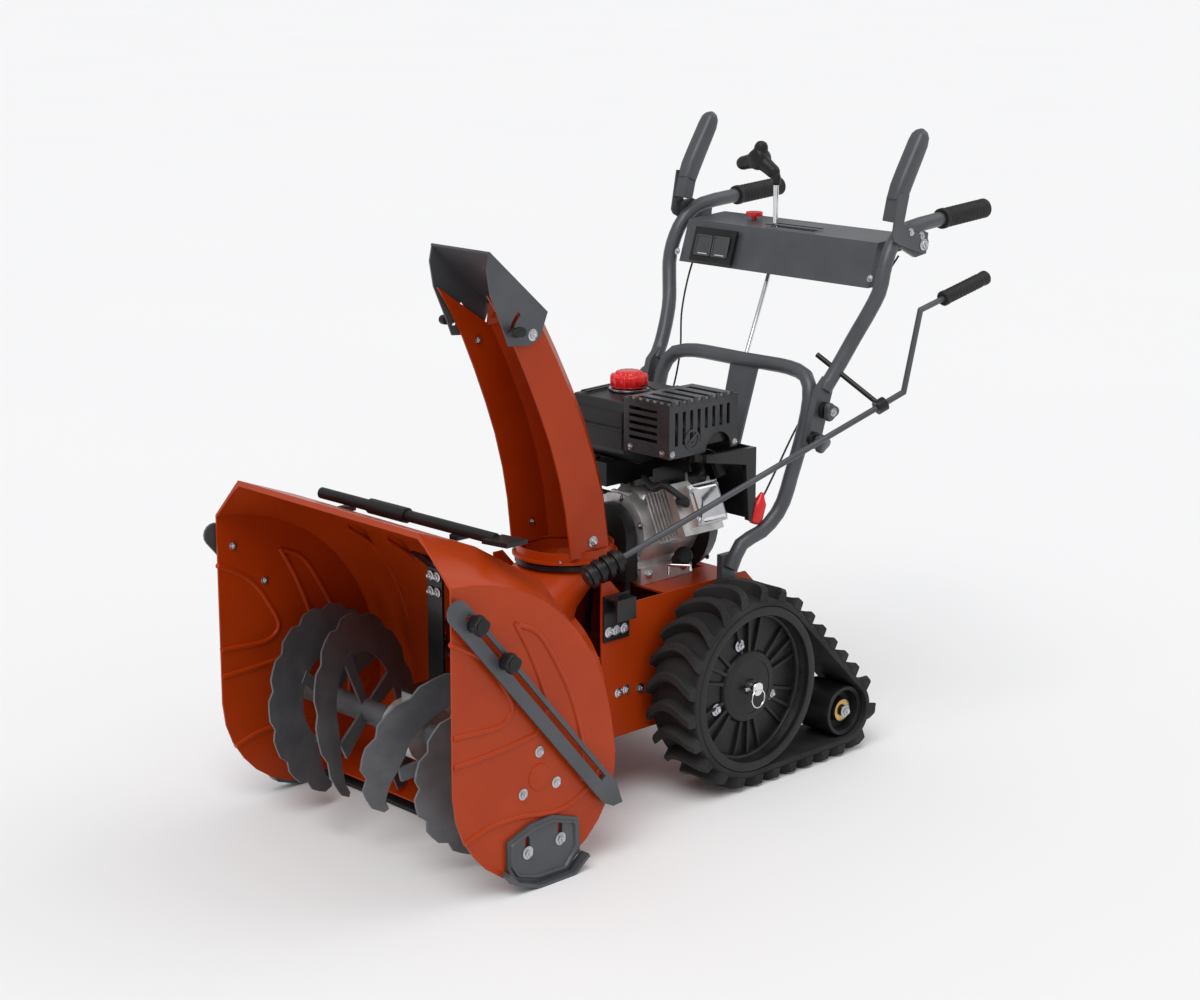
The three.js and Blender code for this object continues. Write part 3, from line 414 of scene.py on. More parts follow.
FINISHES = (
    (HOUSING, 0.9, "auger_housing"),
    (ORANGE, 0.9, "chassis chute"),
    (GREY, 0.9, "skid_shoe_left skid_shoe_right drift_cutter_left drift_cutter_right"),
    (BLADE, 0.6, "auger_left auger_right"),
    (GREY, 0.8, "deflector console"),
    (SOOT, 0.6, "muffler_guard"),
    (BLACK, 0.8, "scraper_bar gearbox_brace crank_bracket rear_panel track_frame_left track_frame_right"),
    (BLACK, 3.0, "muffler"),
    (PLASTIC, 0.8, "belt_cover chute_ring crank_worm lamp"),
    (PLASTIC, 4.0, "fuel_tank intake_box"),
    (PLASTIC, 1.5, "recoil_cover cleanout_tool"),
    (PLASTIC, 1.0, "drive_wheel_left drive_wheel_right idler_left idler_right recoil_handle"),
    (SOFT, 0.8, "auger_belt"),
    (STEEL, 0.6, "crankshaft drive_axle auger_shaft impeller"),
    (CAST, 2.0, "auger_gearbox engine_block"),
    (CAST, 0.6, "cylinder_head"),
    (RED, 1.0, "ignition_key"),
    (BLACK, 0.6, "crank_eye"),
    (GREY, 0.0, "lower_handle upper_handle_left upper_handle_right crank_rod"),
    (CHROME, 0.0, "shift_rod"),
)
for finish, width, names in FINISHES:
    dress(names, finish, width)


# Tracks

WHEEL, WHEEL_RADIUS = (683, 170), 138
IDLER, IDLER_RADIUS = (912, 76), 44
RIM_GAP = 1
TRACK_EDGES = (146, 244)
TRACK_STEPS = 216
ARC_STEPS = 60
LUGS, LUG_STATIONS = 27, 11
LUG_HEIGHT, LUG_FALL = 30.6, 5
LUG_BOW = (5.2, 3.4)      # how far a lug trails at its inner and outer end, in steps along the track
LOWEST = 0.3


def rim_points():
    """Points (y, z, normal y, normal z) where the track lies around the wheel and the idler."""
    dy, dz = IDLER[0] - WHEEL[0], IDLER[1] - WHEEL[1]
    along = math.atan2(dz, dy)
    lean = math.acos((WHEEL_RADIUS - IDLER_RADIUS) / math.hypot(dy, dz))
    arcs = ((WHEEL, WHEEL_RADIUS, along + lean, along - lean + 2 * math.pi),
            (IDLER, IDLER_RADIUS, along - lean, along + lean))
    points = []
    for (cy, cz), radius, start, end in arcs:
        reach = radius + RIM_GAP
        for i in range(ARC_STEPS + 1):
            angle = start + (end - start) * i / ARC_STEPS
            c, s = math.cos(angle), math.sin(angle)
            points.append((cy + reach * c, cz + reach * s, c, s))
    return points


def track_path():
    """The same route in evenly spaced points, straight runs included."""
    points = rim_points()
    lengths = [0.0]
    for p, q in zip(points, points[1:] + points[:1]):
        lengths.append(lengths[-1] + math.hypot(q[0] - p[0], q[1] - p[1]))
    even, k = [], 0
    for i in range(TRACK_STEPS):
        goal = lengths[-1] * i / TRACK_STEPS
        while lengths[k + 1] < goal:
            k += 1
        share = (goal - lengths[k]) / max(lengths[k + 1] - lengths[k], 1e-9)
        p, q = points[k], points[(k + 1) % len(points)]
        even.append(tuple(a + (b - a) * share for a, b in zip(p, q)))
    return even


def between_steps(path, place):
    """The path's point and normal at a place counted in steps."""
    place %= TRACK_STEPS
    k, part = int(place), place - int(place)
    p, q = path[k], path[(k + 1) % TRACK_STEPS]
    return tuple(a + (b - a) * part for a, b in zip(p, q))


def lug(path, start):
    """A tread lug: it sweeps across the track in an arc and is a little lower at both ends."""
    inner, outer = TRACK_EDGES
    rings = []
    for j in range(LUG_STATIONS):
        u = j / (LUG_STATIONS - 1)
        off_centre = 2 * u - 1
        trail = LUG_BOW[0 if u < 0.5 else 1] * off_centre ** 2
        tall = LUG_HEIGHT - LUG_FALL * off_centre ** 8
        shoulder = tall - 2
        profile = ((-1.9, 9), (1.9, 9), (1.25, shoulder), (0.95, tall), (-0.95, tall), (-1.25, shoulder))
        ring = []
        for ahead, high in profile:
            y, z, ny, nz = between_steps(path, start + trail + ahead)
            ring.append(at(inner + (outer - inner) * u, y + ny * high, max(z + nz * high, LOWEST)))
        rings.append(ring)
    return loft(rings)


def track_belt():
    """A carcass with rounded shoulders, and its lugs."""
    inner, outer = TRACK_EDGES
    path = track_path()
    section = [(inner, 0), (outer, 0), (outer, 8), (outer - 4, 11), (inner + 4, 11), (inner, 8)]
    rings = [[at(x, y + ny * h, z + nz * h) for x, h in section] for y, z, ny, nz in path]
    return join([loft(rings, closed=True), *(lug(path, n * TRACK_STEPS / LUGS) for n in range(LUGS))])


def tracks():
    left = track_belt()
    for side, form in (("left", left), ("right", mirror(left))):
        piece(f"track_tread_{side}", form, TREAD, "frame", f"track_belt_{side}", 0.8)


# Wheels

WHEEL_BOLTS = ((663, 243), (740, 144), (610, 146))
SPOKES, RIM_TEETH = 12, 24
SPOKE_SECTIONS = ((58, 5, 3, 8), (88, 4, 2.4, 8), (118, 3.5, 2.1, 7))
TOOTH_SECTIONS = ((121, 5, 3, 12), (128, 5, 3, 12))
HITCH_RING = {"drop": 16, "radius": 15, "wire": 1.4, "x": 243}


def wheel_rib(sign, base, angle, sections):
    """A tapering rib along a radius. Each section is (radius, half width, half width on top, height)."""
    c, s = math.cos(angle), math.sin(angle)
    rings = []
    for r, half, top, high in sections:
        rings.append([at(sign * (base + h), WHEEL[0] + r * c - w * s, WHEEL[1] + r * s + w * c)
                      for w, h in ((-half, 0), (half, 0), (top, high), (-top, high))])
    return loft(rings)


def wheel_face(side, sign):
    """The rim's lip, the step inside it, the hub's collar, the spokes and a toothed edge."""
    centre, out = at(sign * 214, *WHEEL), (sign, 0, 0)
    rim = hoop(centre, out, [(123, 20), (138, 20), (138, 29), (135, 30), (125, 30), (123, 29)], 96)
    step = hoop(centre, out, [(116, -2), (124, -2), (124, 9), (121, 10), (118, 9), (116, 6)], 96)
    collar = hoop(centre, out, [(54, -1), (62, -1), (62, 4), (58, 9), (46, 11), (46, 0)], 64)
    spokes = [wheel_rib(sign, 213, angle + math.pi / SPOKES, SPOKE_SECTIONS) for angle in around(SPOKES)]
    teeth = [wheel_rib(sign, 216, angle, TOOTH_SECTIONS) for angle in around(RIM_TEETH)]
    piece(f"wheel_face_{side}", join([rim, step, collar, *spokes, *teeth]), PLASTIC, "drive", width=0.6)


def hitch_pin(side, sign):
    """The pin that locks a wheel to the axle, with its pull ring."""
    x, wire, radius = sign * HITCH_RING["x"], HITCH_RING["wire"] / 1000, HITCH_RING["radius"]
    centre = at(x, WHEEL[0], WHEEL[1] - HITCH_RING["drop"])
    rings = []
    for a in around(24):
        p = at(x, WHEEL[0] + radius * math.cos(a), WHEEL[1] - HITCH_RING["drop"] + radius * math.sin(a))
        outward = (p - centre).normalized()
        rings.append([p + outward * wire * math.cos(b) + Vector((wire * math.sin(b), 0, 0))
                      for b in around(8)])
    cap = turned(at(sign * 230, *WHEEL), (sign, 0, 0), [(12.6, 0), (12.6, 10), (11, 13), (0, 13.5)], 28)
    piece(f"hitch_pin_{side}", join([loft(rings, closed=True), cap]), CHROME, "drive")


def idler_details(side, sign):
    """The idler's bearing, its bolt and its rim."""
    out = (sign, 0, 0)
    bearing = hoop(at(sign * 222, *IDLER), out, [(9.5, 0), (19, 0), (19, 6), (16, 7), (9.5, 7)], 40)
    piece(f"idler_bearing_{side}", bearing, BRASS, f"idler_{side}")
    piece(f"idler_bolt_{side}", bolt(at(sign * 234, *IDLER), out, 8), STEEL, "frame")
    rim = hoop(at(sign * 229, *IDLER), out, [(37, 0), (44, 0), (44, 3), (42.5, 5), (38, 5)], 64)
    piece(f"idler_rim_{side}", rim, PLASTIC, f"idler_{side}", width=0.5)


def wheel_details():
    for side, sign in SIDES.items():
        bolts = [bolt(at(sign * 218, y, z), (sign, 0, 0), 7.5) for y, z in WHEEL_BOLTS]
        piece(f"wheel_bolts_{side}", join(bolts), STEEL, "drive")
        wheel_face(side, sign)
        hitch_pin(side, sign)
        idler_details(side, sign)


# Housing

CUTTER_STUDS = ((31.1, 431.2), (89.0, 363.3))
CUTTER_KNOB = {"radius": 16, "height": 20.6, "lobes": 4, "depth": 0.2}
SIDE_RIBS = (
    ((1, 404), (60, 369), (97, 320), (113, 281), (95, 264), (2, 265)),
    ((120, 411), (148, 360), (171, 305), (180, 269), (163, 238), (138, 231), (74, 224), (2, 221)),
    ((125, 407), (160, 390), (197, 338), (231, 269), (251, 193), (251, 138)),
    ((21, 100), (68, 113), (126, 113), (205, 103), (256, 121), (296, 150)),
)
SIDE_DISC = [(21, 0), (20, 2.4), (15, 3), (0, 3)]
BACK_RIB_X = (-205, -105, 105, 205)
# a back rib's points: the share of its X, then y and z
BACK_RIB = ((1, 196, 446), (0.97, 250, 402), (0.93, 284, 340), (0.9, 305, 270))


def bead(points, radius=4.6):
    """A pressed rib: a half-round bar sunk in the sheet."""
    return sweep(curve_through(points, 6), radius, 12)


def housing_ribs():
    """Pressed ribs on both side plates and on the back, and the raised disc on each side."""
    beads = []
    for sign in SIDES.values():
        for line in SIDE_RIBS:
            beads.append(bead([at(sign * 283.5, y, z) for y, z in line]))
        beads.append(turned(at(sign * 284, 164, 166), (sign, 0, 0), SIDE_DISC, 40))
    for x in BACK_RIB_X:
        beads.append(bead([at(x * share, y, z) for share, y, z in BACK_RIB], 4))
    piece("housing_ribs", join(beads), ORANGE, "frame")


def frame_bolts():
    bolts = []
    for sign in SIDES.values():
        out = (sign, 0, 0)
        bolts += [bolt(at(sign * 285, y, z), out, 6.5) for y, z in ((165, 205), (198, 149), (132, 147))]
        bolts += [bolt(at(sign * 291.2, y, z), out, 7.5) for y, z in ((135, 57), (200, 61))]
        bolts += [bolt(at(sign * 282, y, z), (-sign, 0, 0), 5.5) for y, z in CUTTER_STUDS]
        bolts += [bolt(at(sign * 130, y, z), out, 6) for y, z in ((475, 185), (492, 187), (524, 182))]
    bolts += [bolt(at(x, 204.6, z), (0, -1, 0), 6) for x in (-8, 8) for z in (405, 380)]
    bolts += [bolt(at(134, y, 292), (1, 0, 0), 6.5) for y in (450, 467, 484)]
    piece("frame_bolts", join(bolts), STEEL, "frame")


def cutter_knobs():
    knobs = [knob(at(sign * 298.6, y, z), (sign, 0, 0), **CUTTER_KNOB)
             for sign in SIDES.values() for y, z in CUTTER_STUDS]
    piece("cutter_knobs", join(knobs), PLASTIC, "frame", width=0.4)


def shoe_rims():
    """The pressed rim around each skid shoe."""
    outline = [(101, 78), (143, 94), (184, 97), (233, 81), (235, 38), (213, 11), (152, 11), (112, 25),
               (101, 42)]
    section = ((0, -0.8), (7, -0.8), (5, 3), (2, 3))
    for side, sign in SIDES.items():
        corners = [at(sign * 291.6, y, z) for y, z in outline]
        centre = sum(corners, Vector()) / len(corners)
        rings = []
        for p, q in zip(corners, corners[1:] + corners[:1]):
            for spot in (p.lerp(q, 0.08), p.lerp(q, 0.5), p.lerp(q, 0.92)):
                inward = (centre - spot).normalized()
                rings.append([spot + inward * a / 1000 + Vector((sign * b / 1000, 0, 0)) for a, b in section])
        piece(f"shoe_rim_{side}", loft(rings, closed=True), GREY, "frame", width=0.5)


# Chute and deflector

CHUTE_Y = 480             # the chute turns about an upright line here
FLANGE_BOLTS = {"radius": 82.6, "z": 396, "degrees": (20, 92, 160, 228, 312)}
THROAT_LINER = [(70.6, 374), (72.8, 374), (72.8, 397.5), (70.6, 397.5)]
DEFLECTOR_HINGE, DEFLECTOR_KNOB = (352, 772), (309.3, 782.6)
CHUTE_CORNER = ((61.6, 371, 768), (41, 391, 776), (41, 390, 803), (61.2, 375, 803))
CHUTE_SHEET = 1.6


def chute_bolts():
    bolts = []
    for sign in SIDES.values():
        bolts.append(bolt(at(sign * 72, 474, 424), (sign, 0, 0), 7))
        bolts.append(bolt(at(sign * 68, *DEFLECTOR_HINGE), (sign, 0, 0), 7))
    bolts.append(bolt(at(-68.6, 470, 432), (1, 0, 0), 5))
    bolts.append(bolt(at(-58.6, 352, 748), (1, 0, 0), 5))
    radius = FLANGE_BOLTS["radius"]
    for degrees in FLANGE_BOLTS["degrees"]:
        a = math.radians(degrees)
        centre = at(radius * math.cos(a), CHUTE_Y + radius * math.sin(a), FLANGE_BOLTS["z"])
        bolts.append(bolt(centre, (0, 0, 1), 3.4, washer=False))
    piece("chute_bolts", join(bolts), STEEL, "chute")


def deflector_knobs():
    knobs, stems = [], []
    for sign in SIDES.values():
        out = (sign, 0, 0)
        knobs.append(knob(at(sign * 70, *DEFLECTOR_KNOB), out, 14, 20, 2, 0.5))
        stems.append(turned(at(sign * 60, *DEFLECTOR_KNOB), out, [(3.4, 0), (3.4, 14)], 12))
    piece("deflector_knobs", join(knobs + stems), PLASTIC, "chute", width=0.4)


def chute_corners():
    """A small sheet across each back corner of the chute's top."""
    corners = []
    for sign in SIDES.values():
        front = [at(sign * x, y, z) for x, y, z in CHUTE_CORNER]
        corners.append(loft([front, [p + Vector((0, CHUTE_SHEET / 1000, 0)) for p in front]]))
    piece("chute_corners", join(corners), ORANGE, "chute")


def chute_details():
    chute_bolts()
    piece("throat_liner", hoop(at(0, CHUTE_Y, 0), (0, 0, 1), THROAT_LINER, 72), ORANGE, "frame", width=0.3)
    deflector_knobs()
    tab = plate([(436, 667), (452, 690), (446, 728), (420, 738), (416, 720)], "x", -22, 22)
    piece("chute_tab", tab, ORANGE, "chute", width=1.5)
    chute_corners()


# Handles

CLAMP_CUP, CLAMP_KNOB = (851, 553), (874, 600)
LEVER_PIVOT = (1056, 862)
GRIP_ENDS = ((1124, 897.2), (1244, 905.7))
CRANK_GRIP_ENDS = ((302, 1052, 777), (302, 1168, 801.5))
GRIP_RIDGES = 22
LEVER_X = 239.7
LEVER_SQUARENESS = 0.7
# y and z of a section's middle, then its half width and half depth, from the arm to the tip
LEVER_SECTIONS = (
    (1000, 936, 14.5, 15.5), (1010, 958, 15.6, 16.6), (1024, 982, 15.8, 16.2), (1040, 1008, 15.8, 15.6),
    (1052, 1028, 15.8, 15), (1058, 1040, 14.2, 12.8), (1061, 1047, 10, 8.6), (1062.5, 1051, 3.5, 2.6),
)


def ridges(radius, depth, pitch):
    """The ribbed stretch of a grip's profile: the radius steps in at every second point."""
    return [(radius - depth * (k % 2), 12 + pitch * k) for k in range(GRIP_RIDGES)]


def grip_cover(side, sign):
    start, end = (at(sign * 236, *place) for place in GRIP_ENDS)
    profile = [(12, 0), (17.2, 0), (17.6, 3), (17.6, 8), (15.6, 10), *ridges(16.9, 2.2, 4.4),
               (16.8, 110), (16.8, 117), (14.5, 119.6), (5, 120.1), (0, 120.1)]
    piece(f"grip_cover_{side}", turned(start, end - start, profile, 36), SOFT, "frame", f"grip_{side}", 0.3)


def handle_bolts(side, sign):
    out = (sign, 0, 0)
    bolts = [bolt(at(sign * 252.3, y, z), out, 6) for y, z in ((1024, 884), (1052, 876))]
    bolts.append(bolt(at(sign * 222.5, 960, 812), (0, -1, 0.3), 4.5))
    bolts.append(turned(at(sign * 202, *CLAMP_CUP), out, [(7, 0), (7, 18), (5, 19)], 6))
    piece(f"handle_bolts_{side}", join(bolts), STEEL, "frame")
    piece(f"lever_pivot_{side}", bolt(at(sign * 255.6, *LEVER_PIVOT), out, 7.5), STEEL, f"lever_{side}")


def handle_clamps(side, sign):
    """The fixed spacer and cup at the handle's joint, and the clamp knob that turns above them."""
    out = (sign, 0, 0)
    spacer = turned(at(sign * 198, *CLAMP_CUP), out, [(11, 0), (14, 1), (14, 10), (10, 12)], 28)
    piece(f"handle_spacer_{side}", spacer, PLASTIC, "frame", width=0.5)
    cup = knob(at(sign * 209, *CLAMP_CUP), (sign, 0.2, -0.25), 17, 20, 3, 0.3)
    piece(f"handle_cup_{side}", cup, GREY, "frame", width=0.5)
    body = f"knob_{side}"
    piece(f"knob_nut_{side}", bolt(at(sign * 224, *CLAMP_KNOB), out, 5.5), STEEL, body)
    hub = turned(at(sign * 202.4, *CLAMP_KNOB), out, [(13, 0), (14, 1), (14, 8), (10, 9)], 28)
    piece(f"knob_hub_{side}", hub, PLASTIC, body, width=0.5)
    star = knob(at(sign * 209, *CLAMP_KNOB), out, 17, 16, 3, 0.3)
    piece(f"knob_star_{side}", star, GREY, body, f"handle_knob_{side}", 0.5)


def crank_grip_cover():
    start, end = (at(*place) for place in CRANK_GRIP_ENDS)
    profile = [(5.4, 0), (11.5, 0), (12.8, 2), (12.8, 8), (11, 10), *ridges(12.4, 1.9, 4.2),
               (12.4, 108), (12.4, 115), (10, 118), (0, 118.5)]
    piece("crank_grip_cover", turned(start, end - start, profile, 32), SOFT, "crank", "crank_grip", 0.3)


def handle_details():
    for side, sign in SIDES.items():
        grip_cover(side, sign)
        handle_bolts(side, sign)
        handle_clamps(side, sign)
    crank_grip_cover()


def lever_blade(sign):
    """Rounded rectangular sections from the arm to the tip."""
    rings = []
    for i, (y, z, wide, deep) in enumerate(LEVER_SECTIONS):
        before, after = LEVER_SECTIONS[max(i - 1, 0)], LEVER_SECTIONS[min(i + 1, len(LEVER_SECTIONS) - 1)]
        rise = Vector((after[0] - before[0], after[1] - before[1])).normalized()
        ring = []
        for a in around(28):
            c, d = (math.copysign(abs(v) ** LEVER_SQUARENESS, v) for v in (math.cos(a), math.sin(a)))
            ring.append(at(sign * (LEVER_X + c * wide), y + rise.y * (d * deep), z - rise.x * (d * deep)))
        rings.append(ring)
    return loft(rings)


def lever_details():
    """The moulded blade of each control lever, with its arm, its ear and its pivot pin."""
    ear_outline = [(1068, 854), (1060, 849), (1050, 848), (996, 866), (980, 874), (975, 882), (988, 952),
                   (1016, 948), (1004, 902), (1010, 892), (1066, 874), (1070, 866)]
    for side, sign in SIDES.items():
        arm = plate([(980, 906), (1003, 901), (1014, 942), (990, 946)], "x", sign * 228, sign * 252)
        ear = plate(ear_outline, "x", sign * 252, sign * 255.4)
        pin = turned(at(sign * 243, *LEVER_PIVOT), (sign, 0, 0), [(4, 0), (4, 14)], 16)
        form = join([lever_blade(sign), arm, ear, pin])
        piece(f"lever_cover_{side}", form, GREY, f"lever_{side}", f"control_lever_{side}", 0.8)


# Shift lever

SHIFT_X, SHIFT_Y = -36, 1012
SHIFT_KNOB = (-76, SHIFT_Y, 982)
SHIFT_LOBES = ((-116, SHIFT_Y, 972), (-72, SHIFT_Y, 1004), (-42, SHIFT_Y, 962))
KNOB_BLEND = 0.0016       # metres between the points of the moulded knob's skin


def shift_lobe(end):
    """One arm of the knob, thick in the middle and rounded at its end."""
    centre = at(*SHIFT_KNOB)
    reach = (end - centre).length * 1000
    profile = [(13, -4), (14.5, 8), (12.5, reach * 0.7), (12.2, reach), (9, reach + 7), (3, reach + 10)]
    return turned(centre, end - centre, profile, 28)


def blend_skin(obj):
    """Runs a piece's forms into each other, before its other modifiers."""
    remesh = obj.modifiers.new("blend", "REMESH")
    remesh.mode = "VOXEL"
    remesh.voxel_size = KNOB_BLEND
    remesh.use_smooth_shade = True
    even = obj.modifiers.new("even", "SMOOTH")
    even.iterations = 8
    for _ in range(2):
        obj.modifiers.move(len(obj.modifiers) - 1, 0)


def shift_details():
    stem = turned(at(SHIFT_X, SHIFT_Y, 812), (0, 0, 1), [(4.6, 0), (4.6, 150)], 20)
    eye = turned(at(SHIFT_X, 1006, 806), (0, 1, 0), [(11, 0), (11, 12)], 28)
    piece("shift_stem", join([stem, eye]), CHROME, "shift", "shift_lever", 0.4)
    lobes = [shift_lobe(at(*place)) for place in SHIFT_LOBES]
    hub = turned(at(-76, 995, 982), (0, 1, 0), [(4, 0), (16, 3), (19, 10), (19, 24), (16, 31), (4, 34)], 32)
    collar = turned(at(SHIFT_X, SHIFT_Y, 940), (0, 0, 1), [(6, 0), (8, 3), (8, 16), (6, 20)], 24)
    obj = piece("shift_knob", join([*lobes, hub, collar]), PLASTIC, "shift")
    blend_skin(obj)


# Console and lamp

LAMP_CELLS = ((-176, -140), (-135, -99))
LAMP_BOTTOM, LAMP_TOP = (954.4, 813), (963.8, 846)


def console_details():
    """The lamp's two lenses with their frames and bright strips, and the two edges of the lever's slot."""
    cells, frames, strips = [], [], []
    for low, high in LAMP_CELLS:
        cells.append(plate([(954.6, 813), (964.4, 846), (966, 845.5), (956.4, 812.5)], "x", low, high))
        corners = [at(low, *LAMP_BOTTOM), at(high, *LAMP_BOTTOM), at(high, *LAMP_TOP), at(low, *LAMP_TOP)]
        frames += [sweep([p, q], 1.3, 10) for p, q in zip(corners, corners[1:] + corners[:1])]
        strips.append(sweep([at(low + 10, 954, 816), at(high - 4, 954, 816)], 1.2, 8))
    piece("lamp_cells", join(cells), LENS, "frame", width=0.8)
    piece("lamp_frames", join(frames), GREY, "frame")
    piece("lamp_strips", join(strips), CHROME, "frame")
    slot = [block(-50, 64, 1000.4, 1003.6, 872, 873.5), block(-50, 64, 1020.4, 1023.6, 872.6, 874.1)]
    piece("slot_edges", join(slot), PLASTIC, "frame", width=0.4)


# Engine

CRANKSHAFT_Z = 405
HEAD_LEAN = math.radians(24)      # the cylinder leans out and up by this much


def on_head(x, y, z):
    """A place on the leaning cylinder head, from its own upright axes."""
    c, s = math.cos(-HEAD_LEAN), math.sin(-HEAD_LEAN)
    return at(x * c + z * s, y, CRANKSHAFT_Z - x * s + z * c)


def bolt_circle(radius, y, degrees, axis, size):
    """Bolts on a circle around the crankshaft."""
    return [bolt(at(radius * math.cos(a), y, CRANKSHAFT_Z + radius * math.sin(a)), axis, size)
            for a in map(math.radians, degrees)]


def engine_bolts():
    outward = Vector((math.cos(HEAD_LEAN), 0, math.sin(HEAD_LEAN)))
    bolts = [bolt(on_head(162, y, z), outward, 6) for y in (632, 684) for z in (-26, 26)]
    bolts += [bolt(at(x, 600, 340), (0, -1, 0), 5.5) for x in (-64, 40)]
    bolts += [bolt(at(54, y, 338), (1, 0, 0), 6) for y in (618, 700)]
    bolts += bolt_circle(60, 596, range(20, 380, 60), (0, -1, 0), 4.5)
    bolts += bolt_circle(84, 750, range(45, 360, 90), (0, 1, 0), 4)
    piece("engine_bolts", join(bolts), STEEL, "frame")


def valve_cover():
    """A low cover on the head, stepping in twice."""
    rings = []
    for x, inset in ((160, 0), (168, 2), (172, 9)):
        y0, y1, z1 = 628 + inset, 688 - inset, 32 - inset
        rings.append([on_head(x, y, z) for y, z in ((y0, -z1), (y1, -z1), (y1, z1), (y0, z1))])
    piece("valve_cover", loft(rings), CHROME, "frame", width=2.5)


def plug_lead():
    route = [on_head(150, 622, 12), on_head(156, 606, 22), on_head(140, 596, 44), at(84, 600, 492),
             at(40, 620, 500)]
    lead = sweep(curve_through(route, 8), 5.5, 16)
    plug = turned(on_head(148, 630, 8), (0, -1, 0.3), [(9, 0), (9, 12), (7, 16), (7, 24), (4, 26)], 24)
    piece("plug_lead", join([lead, plug]), SOFT, "frame")


def carburettor():
    forms = [turned(at(-30, 640, 452), (1, 0, 0), [(20, 0), (22, 4), (22, 60), (18, 66)], 28),
             turned(at(6, 640, 452), (0, 0, -1), [(16, 0), (18, 12), (18, 34), (12, 40)], 28),
             block(-22, 20, 604, 612, 440, 472)]
    piece("carburettor", join(forms), CAST, "frame", width=1.2)


def exhaust_elbow():
    route = [at(90, 690, 540), at(92, 690, 520), at(108, 676, 500), on_head(128, 660, 46)]
    piece("exhaust_elbow", sweep(curve_through(route, 8), 13, 24), BLACK, "frame")


def fuel_hose():
    """The hose from the tank to the carburettor, and a wire stay behind the engine."""
    route = [at(-60, 612, 522), at(-66, 600, 500), at(-50, 598, 470), at(-10, 612, 462)]
    hose = sweep(curve_through(route, 8), 4.5, 14)
    stay = sweep([at(112, 768, 540), at(118, 772, 470), at(126, 772, 430)], 4, 12)
    piece("fuel_hose", join([hose, stay]), SOFT, "frame")


def engine_details():
    engine_bolts()
    valve_cover()
    plug_lead()
    exhaust_elbow()
    carburettor()
    fuel_hose()
    profile = [(11, 0), (11, 16), (15, 18), (15, 30), (10, 33)]
    filler = turned(at(62, 676, 352), (0.8, -0.2, 0.55), profile, 24)
    piece("oil_filler", filler, PLASTIC, "frame", width=0.5)
    pin = sweep([at(96, 622, 346), at(96, 622, 362), at(128, 640, 364), at(128, 640, 356)], 3, 12)
    piece("deck_pin", pin, CHROME, "frame")


# Muffler guard

GUARD_TOP = 636
SIDE_TABS = [586 + 17 * i for i in range(9)]
FRONT_TABS = [50 + 16 * i for i in range(6)]


def guard_details():
    """Folded tabs along the guard's top edge, a rolled ring with a bar over its round hole, and screws."""
    forms = []
    for y in SIDE_TABS:
        outline = [(y - 4, GUARD_TOP), (y + 4, GUARD_TOP), (y + 4, 643), (y + 2.5, 645), (y - 2.5, 645),
                   (y - 4, 643)]
        forms.append(plate(outline, "x", 137.6, 141))
    for x in FRONT_TABS:
        outline = [(x - 4, GUARD_TOP), (x + 4, GUARD_TOP), (x + 3, 644), (x - 3, 644)]
        forms.append(plate(outline, "y", 576.2, 579))
    forms.append(hoop(at(139.6, 628, 578), (1, 0, 0), [(13, 0), (17, 0), (17, 2.2), (13, 2.2)], 40))
    forms.append(sweep([at(140.6, 618, 570), at(140.6, 638, 586)], 2.2, 10))
    piece("guard_tabs", join(forms), SOOT, "frame", width=0.4)
    screws = [bolt(at(140, y, 560), (1, 0, 0), 4) for y in (584, 728)]
    screws += [bolt(at(x, 577, 560), (0, -1, 0), 4) for x in (52, 124)]
    piece("guard_screws", join(screws), STEEL, "frame")


# Fuel tank

FUEL_CAP = (-41, 664)
SEAM_Z = 584
CAP_RIDGES, CAP_RIDGE_DEPTH = 12, 0.045


def ridged(angle):
    """The fuel cap's outline."""
    return 1 + CAP_RIDGE_DEPTH * math.cos(CAP_RIDGES * angle)


def tank_seam():
    seam = sweep([at(x, y, SEAM_Z) for x, y in ((-97, 577), (-97, 748), (33.5, 748))], 2.4, 10)
    front = sweep([at(-97, 576.6, SEAM_Z), at(33.5, 576.6, SEAM_Z)], 2.4, 10)
    piece("tank_seam", join([seam, front]), PLASTIC, "frame")


def tank_details():
    tank_seam()
    outline = [(598, 628), (728, 632), (728, 634), (598, 630.5)]
    lines = [plate(outline, "x", x, x + 5) for x in (-88, -78, 8, 18)]
    piece("tank_ridges", join(lines), BLACK, "frame", width=0.6)
    profile = [(29, 0), (31, 2), (31, 17), (28.5, 20.4), (23, 21.6), (21, 25), (19, 26), (0, 26.2)]
    cap = turned(at(*FUEL_CAP, 634.4), (0, 0, 1), profile, 96, ridged)
    piece("fuel_cap_cover", cap, RED, "cap", "fuel_cap")
    neck = turned(at(*FUEL_CAP, 628), (0, 0, 1), [(26, 0), (34, 1), (34, 4.4), (24, 5.4)], 48)
    piece("tank_neck", neck, STEEL, "frame", width=0.4)
    route = [at(-14, 664, 636), at(2, 660, 642), at(14, 668, 636), at(10, 684, 631)]
    piece("cap_tether", sweep(curve_through(route, 8), 1.4, 8), PLASTIC, "frame")


# Clean-out tool and cables

TOOL_CLIPS = ((-96, 112.5), (150, 133.5))
CABLE_ROUTE = [(221, 1034, 842), (214, 990, 790), (198, 948, 712), (170, 915, 640), (150, 870, 566),
               (147, 824, 500), (145, 792, 455), (145, 772, 436)]
BOOT = [(6, -14), (12, -10), (13, 0), (12, 22), (7, 30), (3, 40)]


def tool_details():
    clips = [block(x - 9, x + 9, y - 14, y + 14, 507, 515) for x, y in TOOL_CLIPS]
    piece("tool_clips", join(clips), PLASTIC, "frame", width=1.5)


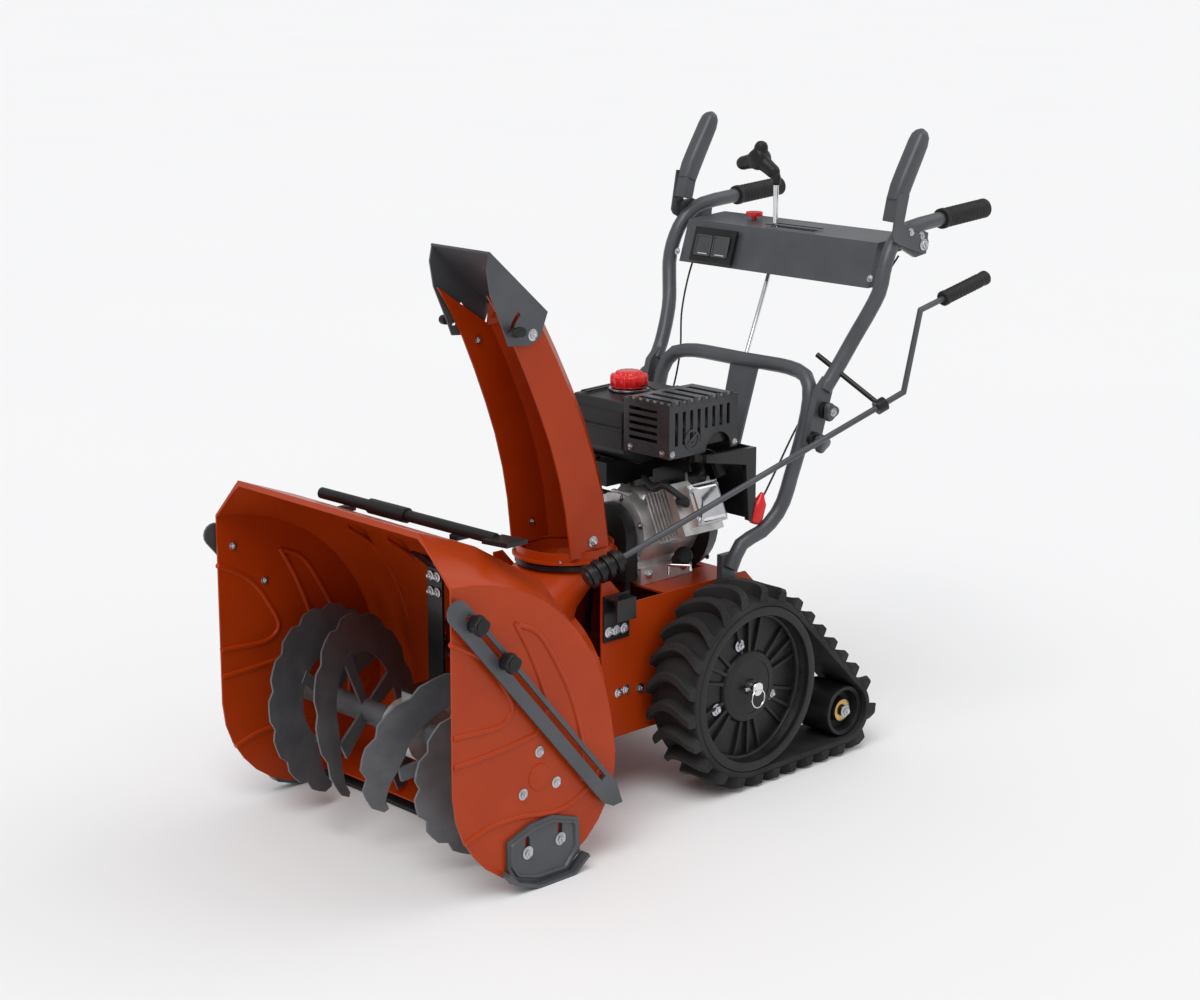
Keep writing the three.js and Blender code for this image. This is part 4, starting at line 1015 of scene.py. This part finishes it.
def cable_details():
    for side, sign in SIDES.items():
        wire = sweep(curve_through([at(sign * x, y, z) for x, y, z in CABLE_ROUTE], 8), 1.7, 12)
        piece(f"cable_sheath_{side}", wire, PLASTIC, "frame", f"clutch_cable_{side}")
    boots = [turned(at(sign * 147, 774, 428), (sign * 0.1, 0.3, 1), BOOT, 24) for sign in SIDES.values()]
    piece("cable_boots", join(boots), RED, "frame")


tracks()
wheel_details()
housing_ribs()
frame_bolts()
cutter_knobs()
shoe_rims()
chute_details()
handle_details()
lever_details()
shift_details()
console_details()
engine_details()
guard_details()
tank_details()
tool_details()
cable_details()


# Floor, lights and camera

FLOOR_RADIUS, FLOOR_SIDES = 90, 96
SKY_COLOR, SKY_STRENGTH = (0.98, 0.985, 1.0), 0.585
# each sun: where its light comes from, its strength, and its width in degrees
SUNS = {"key": ((0.4, -0.7, 1.3), 1.5, 40), "back": ((0.35, 0.9, 0.9), 0.45, 50)}
CAMERA_PLACE = (2.6904, -2.6189, 1.3925)
CAMERA_AZIMUTH, CAMERA_ELEVATION = 46.4415, 14.0273
LENS_LENGTH, SENSOR_WIDTH = 70.26, 36


def floor():
    material, tree, shader = new_material("paper_floor")
    shade = blend_colors(tree, noise(tree, 0.7, 2), (0.86, 0.86, 0.865), (0.88, 0.88, 0.88))
    tree.links.new(shade, shader.inputs["Base Color"])
    shader.inputs["Roughness"].default_value = 0.9
    shader.inputs["Specular IOR Level"].default_value = 0.1
    mesh = bpy.data.meshes.new("floor")
    rim = [(FLOOR_RADIUS * math.cos(a), FLOOR_RADIUS * math.sin(a), 0) for a in around(FLOOR_SIDES)]
    mesh.from_pydata(rim, [], [tuple(range(FLOOR_SIDES))])
    mesh.materials.append(material)
    obj = bpy.data.objects.new("floor", mesh)
    bpy.context.scene.collection.objects.link(obj)


def sky():
    world = bpy.data.worlds.new("soft_sky")
    world.use_nodes = True
    background = world.node_tree.nodes["Background"]
    background.inputs["Color"].default_value = (*SKY_COLOR, 1)
    background.inputs["Strength"].default_value = SKY_STRENGTH
    bpy.context.scene.world = world


def suns():
    for name, (towards, strength, angle) in SUNS.items():
        light = bpy.data.lights.new(name, "SUN")
        light.energy = strength
        light.angle = math.radians(angle)
        lamp = bpy.data.objects.new(name, light)
        lamp.rotation_mode = "QUATERNION"
        lamp.rotation_quaternion = Vector(towards).to_track_quat("Z", "Y")
        bpy.context.scene.collection.objects.link(lamp)


def camera():
    azimuth, elevation = math.radians(CAMERA_AZIMUTH), math.radians(CAMERA_ELEVATION)
    back = Vector((math.sin(azimuth) * math.cos(elevation), -math.cos(azimuth) * math.cos(elevation),
                   math.sin(elevation)))
    data = bpy.data.cameras.new("camera")
    data.lens = LENS_LENGTH
    data.sensor_width = SENSOR_WIDTH
    obj = bpy.data.objects.new("camera", data)
    obj.location = CAMERA_PLACE
    obj.rotation_mode = "QUATERNION"
    obj.rotation_quaternion = (-back).to_track_quat("-Z", "Y")
    bpy.context.scene.collection.objects.link(obj)
    bpy.context.scene.camera = obj


floor()
sky()
suns()
camera()
bpy.context.scene.view_settings.view_transform = "Standard"
